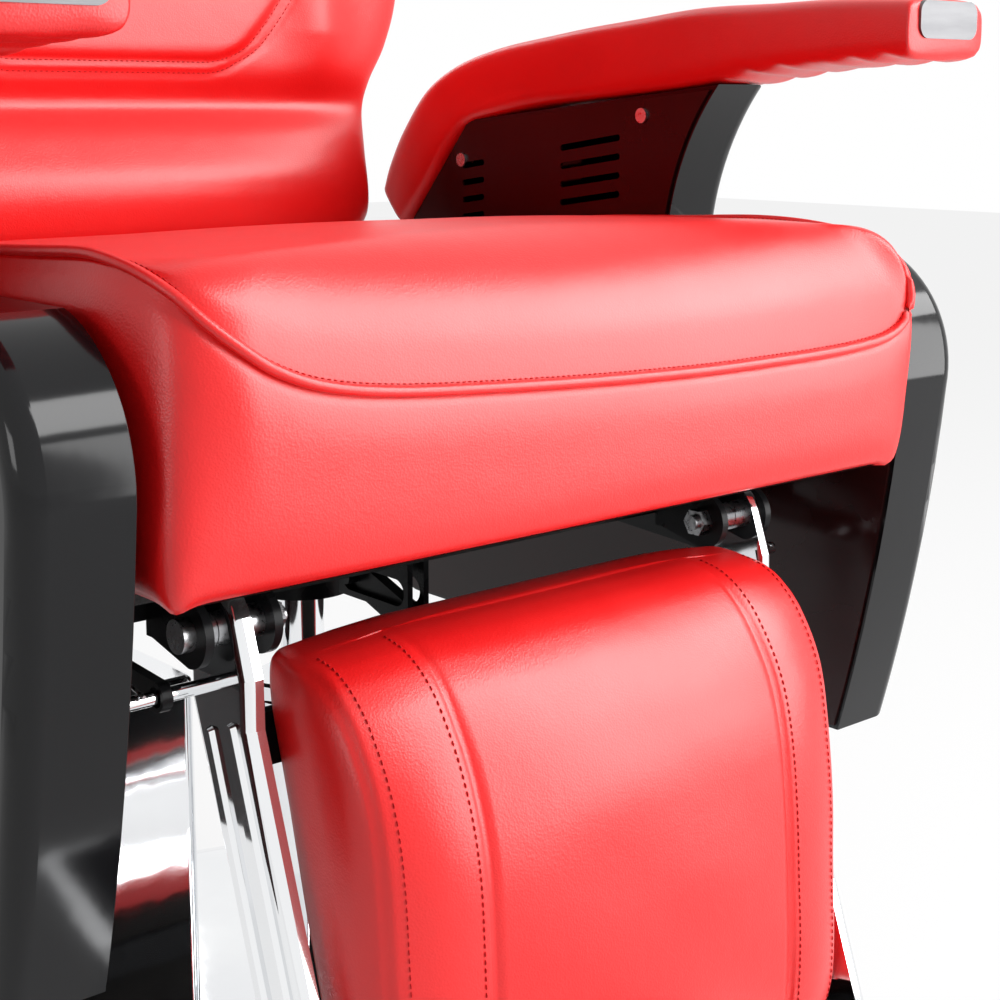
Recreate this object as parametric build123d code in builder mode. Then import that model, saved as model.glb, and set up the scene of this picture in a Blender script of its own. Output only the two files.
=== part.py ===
"""Reclining hydraulic barber chair with a leg rest, built as separate pieces.

Frame: +Z up, the sitter faces -Y, the origin is on the floor on the axis of the lifting column.
All lengths are in millimetres and all angles in degrees.
"""
from build123d import *
from math import cos, radians, sin, sqrt, tan
import os

os.makedirs("parts", exist_ok=True)

# Driving sizes of the whole chair
seat_width = 536
seat_front = -291
seat_rear = 205
seat_bottom = 448
seat_crown = 608
side_gap = 9
shell_width = 58
shell_bottom = 250
arm_pad_width = 80
base_radius = 340
rod_radius = 15
back_tilt = 8
leg_tilt = 19

# Stock sizes and fits that several pieces share
running_fit = 0.05
loose_fit = 0.4
cloth_gap = 0.3
overrun = 5
sheet_metal = 3
steel_plate = 6
board_thickness = 12
bolt_radius = 5

# Places of the axes that the moving pieces turn on
leg_axis_y = -212
leg_axis_z = 410
back_axis_y = 238
back_axis_z = 420
back_swing = 56
leg_swing = back_swing / 2


def keep(builder, name):
    """Label the finished piece and write it as its own STEP file."""
    builder.part.label = name
    export_step(builder.part, f"parts/{name}.step")


def side_plane(x):
    """Plane facing +X at the given x, with sketch axes along Y and Z."""
    return Plane.YZ.offset(x)


def mirrored(builder, name):
    """Write the mirror image of a right-hand piece as the left-hand one."""
    twin = mirror(builder.part, about=Plane.YZ)
    twin.label = name
    export_step(twin, f"parts/{name}.step")


# Base plate: cast disc with a hub for the column and a seat for the pump
plate_radius = 318
plate_height = 12
plateau_height = 57
hub_radius = 62
pump_x = -130
pump_y = 75
pump_seat_width = 100
pump_seat_depth = 90
cylinder_radius = 37

with BuildPart() as base_plate:
    with BuildSketch(Plane.XY):
        Circle(plate_radius)
    extrude(amount=plate_height)
    with BuildSketch(Plane.XY.offset(plate_height)):
        Circle(hub_radius)
        with Locations((pump_x, pump_y)):
            Rectangle(pump_seat_width, pump_seat_depth)
    extrude(amount=plateau_height - sheet_metal - plate_height)
    with BuildSketch(Plane.XY.offset(plate_height)):
        Circle(cylinder_radius)
    extrude(amount=plateau_height, mode=Mode.SUBTRACT)
keep(base_plate, "base_plate")

# Base dish: polished cover that lies over the base plate
plateau_radius = 240
dish_rim_height = 16
dish_lift = 4

with BuildPart() as base_dish:
    with BuildSketch(Plane.XZ):
        with BuildLine():
            Polyline((cylinder_radius + loose_fit, plateau_height),
                     (plateau_radius, plateau_height))
            TangentArc((plateau_radius, plateau_height), (base_radius, dish_rim_height), tangent=(1, 0))
            Polyline((base_radius, dish_rim_height), (base_radius, dish_lift),
                     (base_radius - sheet_metal, dish_lift),
                     (base_radius - sheet_metal, dish_rim_height - sheet_metal))
            TangentArc((plateau_radius, plateau_height - sheet_metal),
                       (base_radius - sheet_metal, dish_rim_height - sheet_metal), tangent=(1, 0))
            Polyline((plateau_radius, plateau_height - sheet_metal),
                     (cylinder_radius + loose_fit, plateau_height - sheet_metal),
                     (cylinder_radius + loose_fit, plateau_height))
        make_face()
    revolve(axis=Axis.Z)
keep(base_dish, "base_dish")

# Pump cylinder: outer tube of the lifting column with its closed foot
cylinder_top = 280
cylinder_floor = 18
cylinder_bore = 30

with BuildPart() as pump_cylinder:
    with BuildSketch(Plane.XY.offset(plate_height)):
        Circle(cylinder_radius - running_fit)
    extrude(amount=cylinder_top - plate_height)
    with BuildSketch(Plane.XY.offset(cylinder_floor)):
        Circle(cylinder_bore)
    extrude(amount=cylinder_top, mode=Mode.SUBTRACT)
keep(pump_cylinder, "pump_cylinder")

# Pump gland: ring nut that guides the rod at the top of the cylinder
gland_height = 12
gland_chamfer = 2

with BuildPart() as pump_gland:
    with BuildSketch(Plane.XY.offset(cylinder_top)):
        RegularPolygon(cylinder_radius, 8)
    extrude(amount=gland_height)
    chamfer(pump_gland.faces().sort_by(Axis.Z)[-1].edges(), gland_chamfer)
    with BuildSketch(Plane.XY.offset(cylinder_top)):
        Circle(rod_radius + running_fit)
    extrude(amount=gland_height, mode=Mode.SUBTRACT)
keep(pump_gland, "pump_gland")

# Piston rod: chromed rod with its piston, carries the whole seat
piston_floor_gap = 2
piston_height = 22
rod_top = 392

with BuildPart() as piston_rod:
    with BuildSketch(Plane.XY.offset(cylinder_floor + piston_floor_gap)):
        Circle(cylinder_bore - running_fit)
    extrude(amount=piston_height)
    with BuildSketch(Plane.XY.offset(cylinder_floor + piston_floor_gap)):
        Circle(rod_radius)
    extrude(amount=rod_top - cylinder_floor - piston_floor_gap)
keep(piston_rod, "piston_rod")

# Pump cover: mirror-bright box beside the column, open below and slotted at the back for the pedal
cover_width = 120
cover_depth = 110
cover_top = 300
cover_corner = 12
cover_flange = 6
pedal_axis_y = 100
pedal_axis_z = 94
pedal_bar_width = 24
pedal_bar_height = 14
pedal_slot_below = 20
pedal_slot_above = 16
cover_back = pump_y + cover_depth / 2

with BuildPart() as pump_cover:
    with BuildSketch(Plane.XY.offset(plateau_height)):
        with Locations((pump_x, pump_y)):
            RectangleRounded(cover_width, cover_depth, cover_corner)
    extrude(amount=cover_top - plateau_height)
    fillet(pump_cover.faces().sort_by(Axis.Z)[-1].edges(), cover_corner / 2)
    with BuildSketch(Plane.XY.offset(plateau_height)):
        with Locations((pump_x, pump_y)):
            RectangleRounded(cover_width + 2 * cover_flange, cover_depth + 2 * cover_flange, cover_corner)
    extrude(amount=sheet_metal)
    with BuildSketch(Plane.XY.offset(plateau_height)):
        with Locations((pump_x, pump_y)):
            RectangleRounded(cover_width - 2 * sheet_metal, cover_depth - 2 * sheet_metal,
                             cover_corner - sheet_metal)
    extrude(amount=cover_top - plateau_height - sheet_metal, mode=Mode.SUBTRACT)
    with BuildSketch(Plane.XZ.offset(-cover_back - overrun)):
        with Locations((pump_x, pedal_axis_z + (pedal_slot_above - pedal_slot_below) / 2)):
            Rectangle(pedal_bar_width + 2 * sheet_metal, pedal_slot_above + pedal_slot_below)
    extrude(amount=2 * overrun + sheet_metal, mode=Mode.SUBTRACT)
keep(pump_cover, "pump_cover")

# Pump body: cast block inside the cover that holds the pedal shaft
body_width = 70
body_depth = 76
body_height = 150
pedal_shaft_radius = 6
pedal_fork_depth = 46
pedal_fork_slack = 1

with BuildPart() as pump_body:
    with BuildSketch(Plane.XY.offset(plateau_height)):
        with Locations((pump_x, pump_y)):
            Rectangle(body_width, body_depth)
    extrude(amount=body_height)
    with BuildSketch(Plane.XZ.offset(-pump_y - body_depth / 2 + pedal_fork_depth)):
        with Locations((pump_x, pedal_axis_z)):
            Rectangle(pedal_bar_width + 2 * pedal_fork_slack, body_height / 2)
    extrude(amount=-pedal_fork_depth - overrun, mode=Mode.SUBTRACT)
    with BuildSketch(side_plane(pump_x - body_width)):
        with Locations((pedal_axis_y, pedal_axis_z)):
            Circle(pedal_shaft_radius)
    extrude(amount=2 * body_width, mode=Mode.SUBTRACT)
keep(pump_body, "pump_body")

# Pedal shaft: pin across the fork of the pump body
with BuildPart() as pedal_shaft:
    with BuildSketch(side_plane(pump_x - body_width / 2)):
        with Locations((pedal_axis_y, pedal_axis_z)):
            Circle(pedal_shaft_radius)
    extrude(amount=body_width)
keep(pedal_shaft, "pedal_shaft")

# Pedal lever: low bar with a flat foot plate at its end, short enough to pass inside the turning leg rest
pedal_reach = 138
foot_plate_width = 90
foot_plate_depth = 50
pedal_end_y = pedal_axis_y + pedal_reach
pedal_end_z = pedal_axis_z

with BuildPart() as pedal_lever:
    with BuildSketch(side_plane(pump_x - pedal_bar_width / 2)):
        with BuildLine():
            Polyline((pedal_axis_y, pedal_axis_z - pedal_bar_height / 2),
                     (pedal_end_y, pedal_end_z - pedal_bar_height / 2),
                     (pedal_end_y, pedal_end_z + pedal_bar_height / 2),
                     (pedal_axis_y, pedal_axis_z + pedal_bar_height / 2), close=True)
        make_face()
        with Locations((pedal_axis_y, pedal_axis_z)):
            Circle(2 * pedal_shaft_radius)
            Circle(pedal_shaft_radius + running_fit, mode=Mode.SUBTRACT)
    extrude(amount=pedal_bar_width)
    with BuildSketch(Plane.XY.offset(pedal_end_z)):
        with Locations((pump_x, pedal_end_y)):
            RectangleRounded(foot_plate_width, foot_plate_depth, pedal_bar_height)
    extrude(amount=pedal_bar_height / 2)
keep(pedal_lever, "pedal_lever")

# Pedal pad: ribbed rubber on the foot plate
pad_thickness = 6
pad_rib_pitch = 10
pad_rib_height = 2
pad_rib_count = 4

with BuildPart() as pedal_pad:
    with BuildSketch(Plane.XY.offset(pedal_end_z + pedal_bar_height / 2)):
        with Locations((pump_x, pedal_end_y)):
            RectangleRounded(foot_plate_width, foot_plate_depth, pedal_bar_height)
    extrude(amount=pad_thickness)
    with BuildSketch(Plane.XY.offset(pedal_end_z + pedal_bar_height / 2 + pad_thickness)):
        with Locations((pump_x, pedal_end_y)):
            with GridLocations(0, pad_rib_pitch, 1, pad_rib_count):
                Rectangle(foot_plate_width - 2 * pedal_bar_height, pad_rib_pitch / 2)
    extrude(amount=pad_rib_height)
keep(pedal_pad, "pedal_pad")

# Swivel hub: socket on the rod's top end and the plate that carries the rails
hub_bottom = 352
hub_plate_bottom = 400
hub_plate_width = 310
hub_plate_depth = 200
hub_plate_thickness = 8
socket_radius = 35
hub_plate_corner = 20

with BuildPart() as swivel_hub:
    with BuildSketch(Plane.XY.offset(hub_bottom)):
        Circle(socket_radius)
    extrude(amount=hub_plate_bottom - hub_bottom)
    with BuildSketch(Plane.XY.offset(hub_plate_bottom)):
        RectangleRounded(hub_plate_width, hub_plate_depth, hub_plate_corner)
    extrude(amount=hub_plate_thickness)
    with BuildSketch(Plane.XY.offset(hub_bottom)):
        Circle(rod_radius + running_fit)
    extrude(amount=rod_top + cloth_gap - hub_bottom, mode=Mode.SUBTRACT)
keep(swivel_hub, "swivel_hub")

# Seat rails, cross members and side plates: the welded steel frame under the seat
rail_width = 30
rail_inset = 125
frame_bottom = hub_plate_bottom + hub_plate_thickness
frame_top = seat_bottom - board_thickness
front_tube_y = -155
front_tube_depth = 30
rear_bar_y = 185
rear_bar_bottom = 414
side_plate_inner = 250
side_plate_bottom = 402
side_plate_front = -172
side_plate_rear = 262

with BuildPart() as seat_rails:
    for hand in (1, -1):
        with BuildSketch(Plane.XY.offset(frame_bottom)):
            with Locations((hand * (rail_inset + rail_width / 2),
                            (front_tube_y + rear_bar_y) / 2)):
                Rectangle(rail_width, rear_bar_y - front_tube_y - front_tube_depth)
        extrude(amount=frame_top - frame_bottom)
keep(seat_rails, "seat_rails")

with BuildPart() as front_cross_tube:
    with BuildSketch(Plane.XY.offset(frame_bottom)):
        with Locations((0, front_tube_y)):
            Rectangle(2 * side_plate_inner, front_tube_depth)
    extrude(amount=frame_top - frame_bottom)
keep(front_cross_tube, "front_cross_tube")

with BuildPart() as rear_cross_bar:
    with BuildSketch(Plane.XY.offset(rear_bar_bottom)):
        with Locations((0, rear_bar_y)):
            Rectangle(2 * side_plate_inner, front_tube_depth)
    extrude(amount=frame_top - rear_bar_bottom)
keep(rear_cross_bar, "rear_cross_bar")

hinge_pin_radius = 7
spring_post_y = -50
spring_post_z = 408
spring_post_radius = 4
spring_post_length = 20

with BuildPart() as side_plates:
    for x in (side_plate_inner, -side_plate_inner - steel_plate):
        with BuildSketch(side_plane(x)):
            with Locations(((side_plate_front + side_plate_rear) / 2, (side_plate_bottom + frame_top) / 2)):
                Rectangle(side_plate_rear - side_plate_front, frame_top - side_plate_bottom)
            with Locations((back_axis_y, back_axis_z)):
                Circle(hinge_pin_radius, mode=Mode.SUBTRACT)
        extrude(amount=steel_plate)
    with BuildSketch(side_plane(side_plate_inner)):
        with Locations((spring_post_y, spring_post_z)):
            Circle(spring_post_radius)
    extrude(amount=-spring_post_length)
    with BuildSketch(side_plane(-side_plate_inner)):
        with Locations((spring_post_y, spring_post_z)):
            Circle(spring_post_radius)
    extrude(amount=spring_post_length)
keep(side_plates, "side_plates")

# Seat board: plywood under the cushion
board_inset = 13
seat_board_front = -228
seat_board_rear = 200

with BuildPart() as seat_board:
    with BuildSketch(Plane.XY.offset(frame_top)):
        with Locations((0, (seat_board_front + seat_board_rear) / 2)):
            Rectangle(seat_width - 2 * board_inset, seat_board_rear - seat_board_front)
    extrude(amount=board_thickness)
keep(seat_board, "seat_board")

# Seat cushion: crowned top that rolls over the front, drawn in at the sides
piping_height = 530
cushion_station_share = [-1, -0.9, -0.55, 0, 0.55, 0.9, 1]
cushion_crown_share = [0.82, 0.97, 0.99, 1, 0.99, 0.97, 0.82]
cushion_draw_in = [10, 0, 0, 0, 0, 0, 10]
cushion_bottom = seat_bottom + cloth_gap
cushion_height = seat_crown - cushion_bottom
crown_start = 70
crown_dip = 3
seat_fall = 26
fall_share = 0.42
bullnose_bulge = 14

with BuildPart() as seat_cushion:
    for station, crown, draw in zip(cushion_station_share, cushion_crown_share, cushion_draw_in):
        front = seat_front + draw
        rear = seat_rear - draw
        top = cushion_bottom + cushion_height * crown
        nose = cushion_bottom + (piping_height - cushion_bottom) * crown
        with BuildSketch(side_plane(station * seat_width / 2)):
            with BuildLine():
                Line((front, cushion_bottom), (front, nose))
                ThreePointArc((front, nose), (front + bullnose_bulge, top - 2 * bullnose_bulge),
                              (front + crown_start, top - crown_dip))
                ThreePointArc((front + crown_start, top - crown_dip),
                              ((front + crown_start + rear) / 2, top - fall_share * seat_fall),
                              (rear, top - seat_fall))
                Polyline((rear, top - seat_fall), (rear, cushion_bottom), (front, cushion_bottom))
            make_face()
    loft()
keep(seat_cushion, "seat_cushion")

# Leg brackets: clevis under the front corner of the seat, two ears and a web on the front cross tube
ear_thickness = 5
outer_ear_x = 208
inner_ear_x = 167
ear_radius = 18
ear_top = 432
ear_bottom_rear = 400
web_front = front_tube_y - front_tube_depth / 2 - steel_plate

with BuildPart() as leg_bracket_right:
    for x in (outer_ear_x, inner_ear_x):
        with BuildSketch(side_plane(x)):
            with BuildLine():
                Polyline((web_front, ear_bottom_rear), (leg_axis_y, leg_axis_z - ear_radius))
                ThreePointArc((leg_axis_y, leg_axis_z - ear_radius), (leg_axis_y - ear_radius, leg_axis_z),
                              (leg_axis_y, leg_axis_z + ear_radius))
                Polyline((leg_axis_y, leg_axis_z + ear_radius), (web_front, ear_top),
                         (web_front, ear_bottom_rear))
            make_face()
            with Locations((leg_axis_y, leg_axis_z)):
                Circle(bolt_radius, mode=Mode.SUBTRACT)
        extrude(amount=ear_thickness)
    with BuildSketch(side_plane(inner_ear_x)):
        with Locations((web_front + steel_plate / 2, (ear_bottom_rear + ear_top) / 2)):
            Rectangle(steel_plate, ear_top - ear_bottom_rear)
    extrude(amount=outer_ear_x + ear_thickness - inner_ear_x)
keep(leg_bracket_right, "leg_bracket_right")
mirrored(leg_bracket_right, "leg_bracket_left")

# Leg arms: pressed flat arms that hang from the brackets and carry the leg pad and the foot rest
arm_inner_x = 189
arm_thickness = 11
arm_top_radius = 24
arm_half_width = 27
arm_shoulder_half_width = 34
arm_front_half_width = 16
arm_edge_radius = 6
arm_neck_start = 30
arm_neck_end = 55
arm_length = 330
rib_height = 3
rib_half_width = 4
rib_spread = 11
rib_offset = 8
rib_start = 48
rib_end = 303
rib_side_angle = 20
foot_axis_length = 345
leg_crank = 33
crank_pin_radius = 4
crank_lean = leg_swing / 2
link_x = 222
link_thickness = 6
link_pin_slack = 1.6
crank_pin_end = 245
leg_pin_y = leg_axis_y + leg_crank * sin(radians(crank_lean))
leg_pin_z = leg_axis_z - leg_crank * cos(radians(crank_lean))
foot_shaft_radius = 6


def leg_plane(x):
    """Plane facing +X on the leg axis, with its first sketch axis running down the leg arm."""
    lean = radians(leg_tilt)
    return Plane(origin=(x, leg_axis_y, leg_axis_z), x_dir=(0, -sin(lean), -cos(lean)), z_dir=(1, 0, 0))


with BuildPart() as leg_arm_right:
    with BuildSketch(leg_plane(arm_inner_x)):
        Circle(arm_top_radius)
        with BuildLine():
            Polyline((0, -arm_top_radius), (arm_neck_start, -arm_top_radius),
                     (arm_neck_end, -arm_front_half_width), (foot_axis_length, -arm_front_half_width),
                     (foot_axis_length, arm_front_half_width), (arm_length, arm_half_width),
                     (arm_neck_start, arm_shoulder_half_width), (0, arm_top_radius), close=True)
        make_face()
        with Locations((foot_axis_length, 0)):
            Circle(arm_front_half_width)
        Circle(bolt_radius + running_fit, mode=Mode.SUBTRACT)
        with Locations((foot_axis_length, 0)):
            Circle(foot_shaft_radius, mode=Mode.SUBTRACT)
    extrude(amount=arm_thickness)
    fillet(leg_arm_right.faces().sort_by(Axis.X)[-1].outer_wire().edges(), arm_edge_radius)
    with BuildSketch(leg_plane(arm_inner_x + arm_thickness)):
        with Locations(((rib_start + rib_end) / 2, rib_offset + rib_spread),
                       ((rib_start + rib_end) / 2, rib_offset - rib_spread)):
            SlotOverall(rib_end - rib_start, 2 * rib_half_width)
    extrude(amount=rib_height, taper=rib_side_angle)
    with BuildSketch(side_plane(arm_inner_x + arm_thickness / 2)):
        with Locations((leg_pin_y, leg_pin_z)):
            Circle(crank_pin_radius)
    extrude(amount=crank_pin_end - arm_inner_x - arm_thickness / 2)
keep(leg_arm_right, "leg_arm_right")
mirrored(leg_arm_right, "leg_arm_left")

# Leg pivot hardware: bolt, nut and spacer tubes on each side
bolt_head_radius = 9
bolt_head_height = 7
nut_height = 8
nut_radius = 9
spacer_radius = 9
side_clearance = 0.3

with BuildPart() as leg_pivot_bolts:
    with BuildSketch(side_plane(inner_ear_x - nut_height - sheet_metal)):
        with Locations((leg_axis_y, leg_axis_z)):
            Circle(bolt_radius)
    extrude(amount=outer_ear_x + ear_thickness + nut_height + sheet_metal - inner_ear_x)
    with BuildSketch(side_plane(outer_ear_x + ear_thickness)):
        with Locations((leg_axis_y, leg_axis_z)):
            Circle(bolt_head_radius)
    extrude(amount=bolt_head_height)
    mirror(about=Plane.YZ)
keep(leg_pivot_bolts, "leg_pivot_bolts")

with BuildPart() as leg_pivot_nuts:
    with BuildSketch(side_plane(inner_ear_x - nut_height)):
        with Locations((leg_axis_y, leg_axis_z)):
            RegularPolygon(nut_radius, 6)
            Circle(bolt_radius, mode=Mode.SUBTRACT)
    extrude(amount=nut_height)
    mirror(about=Plane.YZ)
keep(leg_pivot_nuts, "leg_pivot_nuts")

with BuildPart() as leg_pivot_spacers:
    for start, stop in ((inner_ear_x + ear_thickness, arm_inner_x - side_clearance),
                        (arm_inner_x + arm_thickness + side_clearance, outer_ear_x)):
        with BuildSketch(side_plane(start)):
            with Locations((leg_axis_y, leg_axis_z)):
                Circle(spacer_radius)
                Circle(bolt_radius, mode=Mode.SUBTRACT)
        extrude(amount=stop - start)
    mirror(about=Plane.YZ)
keep(leg_pivot_spacers, "leg_pivot_spacers")

# Leg board and its two cross bars, one of which has the lug for the centre link
pad_half_width = 176
pad_top = 404
pad_bottom = 115
pad_back_top_y = -222
pad_back_bottom_y = -300
leg_board_thickness = 10
leg_board_half_width = 165
leg_board_top = 384
leg_board_bottom = 130
back_slope = (pad_back_bottom_y - pad_back_top_y) / (pad_top - pad_bottom)
cross_bar_height = 26
cross_bar_thickness = 8
cross_bar_heights = (350, 160)
link_lug_y = -222
link_lug_z = 322
link_lug_radius = 9
link_half_width = 4
lug_thickness = 5


def pad_back_y(z):
    """Place of the pad's straight back plane at height z."""
    return pad_back_top_y + back_slope * (pad_top - z)


with BuildPart() as leg_board:
    with BuildSketch(side_plane(-leg_board_half_width)):
        with BuildLine():
            Polyline((pad_back_y(leg_board_top), leg_board_top),
                     (pad_back_y(leg_board_top) + leg_board_thickness, leg_board_top),
                     (pad_back_y(leg_board_bottom) + leg_board_thickness, leg_board_bottom),
                     (pad_back_y(leg_board_bottom), leg_board_bottom), close=True)
        make_face()
    extrude(amount=2 * leg_board_half_width)
keep(leg_board, "leg_board")

with BuildPart() as leg_cross_bars:
    for z in cross_bar_heights:
        high = z + cross_bar_height / 2
        low = z - cross_bar_height / 2
        with BuildSketch(side_plane(-arm_inner_x)):
            with BuildLine():
                Polyline((pad_back_y(high) + leg_board_thickness, high),
                         (pad_back_y(high) + leg_board_thickness + cross_bar_thickness, high),
                         (pad_back_y(low) + leg_board_thickness + cross_bar_thickness, low),
                         (pad_back_y(low) + leg_board_thickness, low), close=True)
            make_face()
        extrude(amount=2 * arm_inner_x)
    for x in (link_half_width + side_clearance, -link_half_width - side_clearance - lug_thickness):
        root = pad_back_y(cross_bar_heights[0]) + leg_board_thickness + cross_bar_thickness / 2
        with BuildSketch(side_plane(x)):
            with BuildLine():
                Polyline((root, cross_bar_heights[0]), (link_lug_y + link_lug_radius, link_lug_z),
                         (link_lug_y - link_lug_radius, link_lug_z), close=True)
            make_face()
            with Locations((link_lug_y, link_lug_z)):
                Circle(link_lug_radius)
        extrude(amount=lug_thickness)
    with BuildSketch(side_plane(-link_half_width - side_clearance)):
        with Locations((link_lug_y, link_lug_z)):
            Circle(crank_pin_radius)
    extrude(amount=2 * (link_half_width + side_clearance))
keep(leg_cross_bars, "leg_cross_bars")

# Leg pad: crowned calf cushion with a middle panel between two seams
pad_height_share = [1, 0.97, 0.9, 0.68, 0.35, 0.07, 0.02, 0]
pad_front_y = [-262, -278, -300, -328, -338, -338, -334, -322]
pad_side_y = [-254, -264, -280, -306, -318, -322, -318, -308]
pad_side_share = [0.94, 0.985, 1, 1, 1, 1, 0.985, 0.95]
panel_seam_x = 113
seam_groove = 3
side_roll = 12

with BuildPart() as leg_pad:
    for share, front, side, width in zip(pad_height_share, pad_front_y, pad_side_y, pad_side_share):
        z = pad_bottom + share * (pad_top - pad_bottom)
        half = pad_half_width * width
        back = pad_back_y(z) - cloth_gap
        seam_y = (front + side) / 2 + seam_groove
        with BuildSketch(Plane.XY.offset(z)):
            with BuildLine():
                Line((-half + side_roll, back), (half - side_roll, back))
                ThreePointArc((half - side_roll, back), (half, (back + side) / 2), (half - side_roll / 2, side))
                ThreePointArc((half - side_roll / 2, side),
                              ((half + panel_seam_x) / 2, (side + seam_y) / 2 - seam_groove),
                              (panel_seam_x, seam_y))
                ThreePointArc((panel_seam_x, seam_y), (0, front), (-panel_seam_x, seam_y))
                ThreePointArc((-panel_seam_x, seam_y),
                              (-(half + panel_seam_x) / 2, (side + seam_y) / 2 - seam_groove),
                              (-half + side_roll / 2, side))
                ThreePointArc((-half + side_roll / 2, side), (-half, (back + side) / 2),
                              (-half + side_roll, back))
            make_face()
    loft()
keep(leg_pad, "leg_pad")

# Foot rest: shaft across the arms, tread plate with cheeks, and a ribbed rubber tread
lean = radians(leg_tilt)
foot_axis_y = leg_axis_y - foot_axis_length * sin(lean)
foot_axis_z = leg_axis_z - foot_axis_length * cos(lean)
tread_thickness = 8
tread_drop = 6
tread_start = 42
tread_depth = 118
tread_half_width = 178
cheek_thickness = 6
cheek_half_height = 10
tread_top = foot_axis_z - tread_drop
tread_near_y = foot_axis_y - tread_start
tread_far_y = tread_near_y - tread_depth

with BuildPart() as footrest_shaft:
    with BuildSketch(side_plane(-arm_inner_x - arm_thickness)):
        with Locations((foot_axis_y, foot_axis_z)):
            Circle(foot_shaft_radius)
    extrude(amount=2 * (arm_inner_x + arm_thickness))
keep(footrest_shaft, "footrest_shaft")

with BuildPart() as footrest_plate:
    with BuildSketch(Plane.XY.offset(tread_top - tread_thickness)):
        with Locations((0, (tread_near_y + tread_far_y) / 2)):
            RectangleRounded(2 * tread_half_width, tread_depth, cheek_half_height)
    extrude(amount=tread_thickness)
    for x in (tread_half_width, -tread_half_width - cheek_thickness):
        with BuildSketch(side_plane(x)):
            with Locations((foot_axis_y, foot_axis_z)):
                Circle(cheek_half_height)
            with BuildLine():
                Polyline((foot_axis_y, foot_axis_z + cheek_half_height),
                         (foot_axis_y, foot_axis_z - cheek_half_height),
                         (tread_near_y, tread_top - tread_thickness),
                         (tread_far_y + cheek_half_height, tread_top - tread_thickness),
                         (tread_far_y + cheek_half_height, tread_top), (tread_near_y, tread_top + cheek_thickness),
                         close=True)
            make_face()
            with Locations((foot_axis_y, foot_axis_z)):
                Circle(foot_shaft_radius + running_fit, mode=Mode.SUBTRACT)
        extrude(amount=cheek_thickness)
keep(footrest_plate, "footrest_plate")

tread_rubber = 3
tread_margin = 14
tread_rib_height = 1.5
tread_rib_count = 9

with BuildPart() as footrest_tread:
    with BuildSketch(Plane.XY.offset(tread_top)):
        with Locations((0, (tread_near_y + tread_far_y) / 2)):
            RectangleRounded(2 * (tread_half_width - tread_margin), tread_depth - tread_margin, tread_margin / 2)
    extrude(amount=tread_rubber)
    tread_rib_pitch = (tread_depth - 2 * tread_margin) / tread_rib_count
    with BuildSketch(Plane.XY.offset(tread_top + tread_rubber)):
        with Locations((0, (tread_near_y + tread_far_y) / 2)):
            with GridLocations(0, tread_rib_pitch, 1, tread_rib_count):
                Rectangle(2 * (tread_half_width - 2 * tread_margin), tread_rib_pitch / 2)
    extrude(amount=tread_rib_height)
keep(footrest_tread, "footrest_tread")

# Side links: flat bars that join the back's cranks to the leg arms' crank pins
back_crank = leg_crank * sin(radians(leg_swing / 2)) / sin(radians(back_swing / 2))
back_pin_y = back_axis_y + back_crank * sin(radians(back_swing / 2))
back_pin_z = back_axis_z - back_crank * cos(radians(back_swing / 2))
link_end_radius = 8

with BuildPart() as link_right:
    with BuildSketch(side_plane(link_x)):
        with BuildLine():
            Polyline((leg_pin_y, leg_pin_z + link_end_radius), (back_pin_y, back_pin_z + link_end_radius),
                     (back_pin_y, back_pin_z - link_end_radius), (leg_pin_y, leg_pin_z - link_end_radius),
                     close=True)
        make_face()
        with Locations((leg_pin_y, leg_pin_z), (back_pin_y, back_pin_z)):
            Circle(link_end_radius)
        with Locations((leg_pin_y, leg_pin_z)):
            Circle(crank_pin_radius + link_pin_slack, mode=Mode.SUBTRACT)
        with Locations((back_pin_y, back_pin_z)):
            Circle(crank_pin_radius + running_fit, mode=Mode.SUBTRACT)
    extrude(amount=link_thickness)
keep(link_right, "link_right")
mirrored(link_right, "link_left")

# Centre link: bar from the leg frame to a slotted guide under the seat, where its pin slides
guide_pin_y = -68
guide_pin_z = 374
link_bar_radius = 11
guide_pin_radius = 4
guide_slot_travel = 48
guide_slack = 4.6
guide_rail = 4
guide_plate = 4

with BuildPart() as centre_link:
    with BuildSketch(side_plane(-link_half_width)):
        with BuildLine():
            Polyline((link_lug_y, link_lug_z + link_bar_radius), (guide_pin_y, guide_pin_z + link_bar_radius),
                     (guide_pin_y, guide_pin_z - link_bar_radius), (link_lug_y, link_lug_z - link_bar_radius),
                     close=True)
        make_face()
        with Locations((link_lug_y, link_lug_z), (guide_pin_y, guide_pin_z)):
            Circle(link_bar_radius)
        with Locations((link_lug_y, link_lug_z)):
            Circle(crank_pin_radius + running_fit, mode=Mode.SUBTRACT)
    extrude(amount=2 * link_half_width)
    with BuildSketch(side_plane(-link_half_width - 2 * guide_plate)):
        with Locations((guide_pin_y, guide_pin_z)):
            Circle(guide_pin_radius)
    extrude(amount=2 * (link_half_width + 2 * guide_plate))
keep(centre_link, "centre_link")

with BuildPart() as link_guide:
    guide_margin = guide_pin_radius + guide_slack + guide_rail
    guide_front = guide_pin_y - guide_slot_travel - guide_margin
    guide_rear = guide_pin_y + guide_margin
    guide_bottom = guide_pin_z - guide_margin
    for x in (link_half_width + side_clearance, -link_half_width - side_clearance - guide_plate):
        with BuildSketch(side_plane(x)):
            with Locations(((guide_front + guide_rear) / 2, (guide_bottom + hub_plate_bottom) / 2)):
                Rectangle(guide_rear - guide_front, hub_plate_bottom - guide_bottom)
            with Locations((guide_pin_y - guide_slot_travel / 2, guide_pin_z)):
                SlotCenterToCenter(guide_slot_travel, 2 * (guide_pin_radius + guide_slack),
                                   mode=Mode.SUBTRACT)
        extrude(amount=guide_plate)
keep(link_guide, "link_guide")

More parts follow.
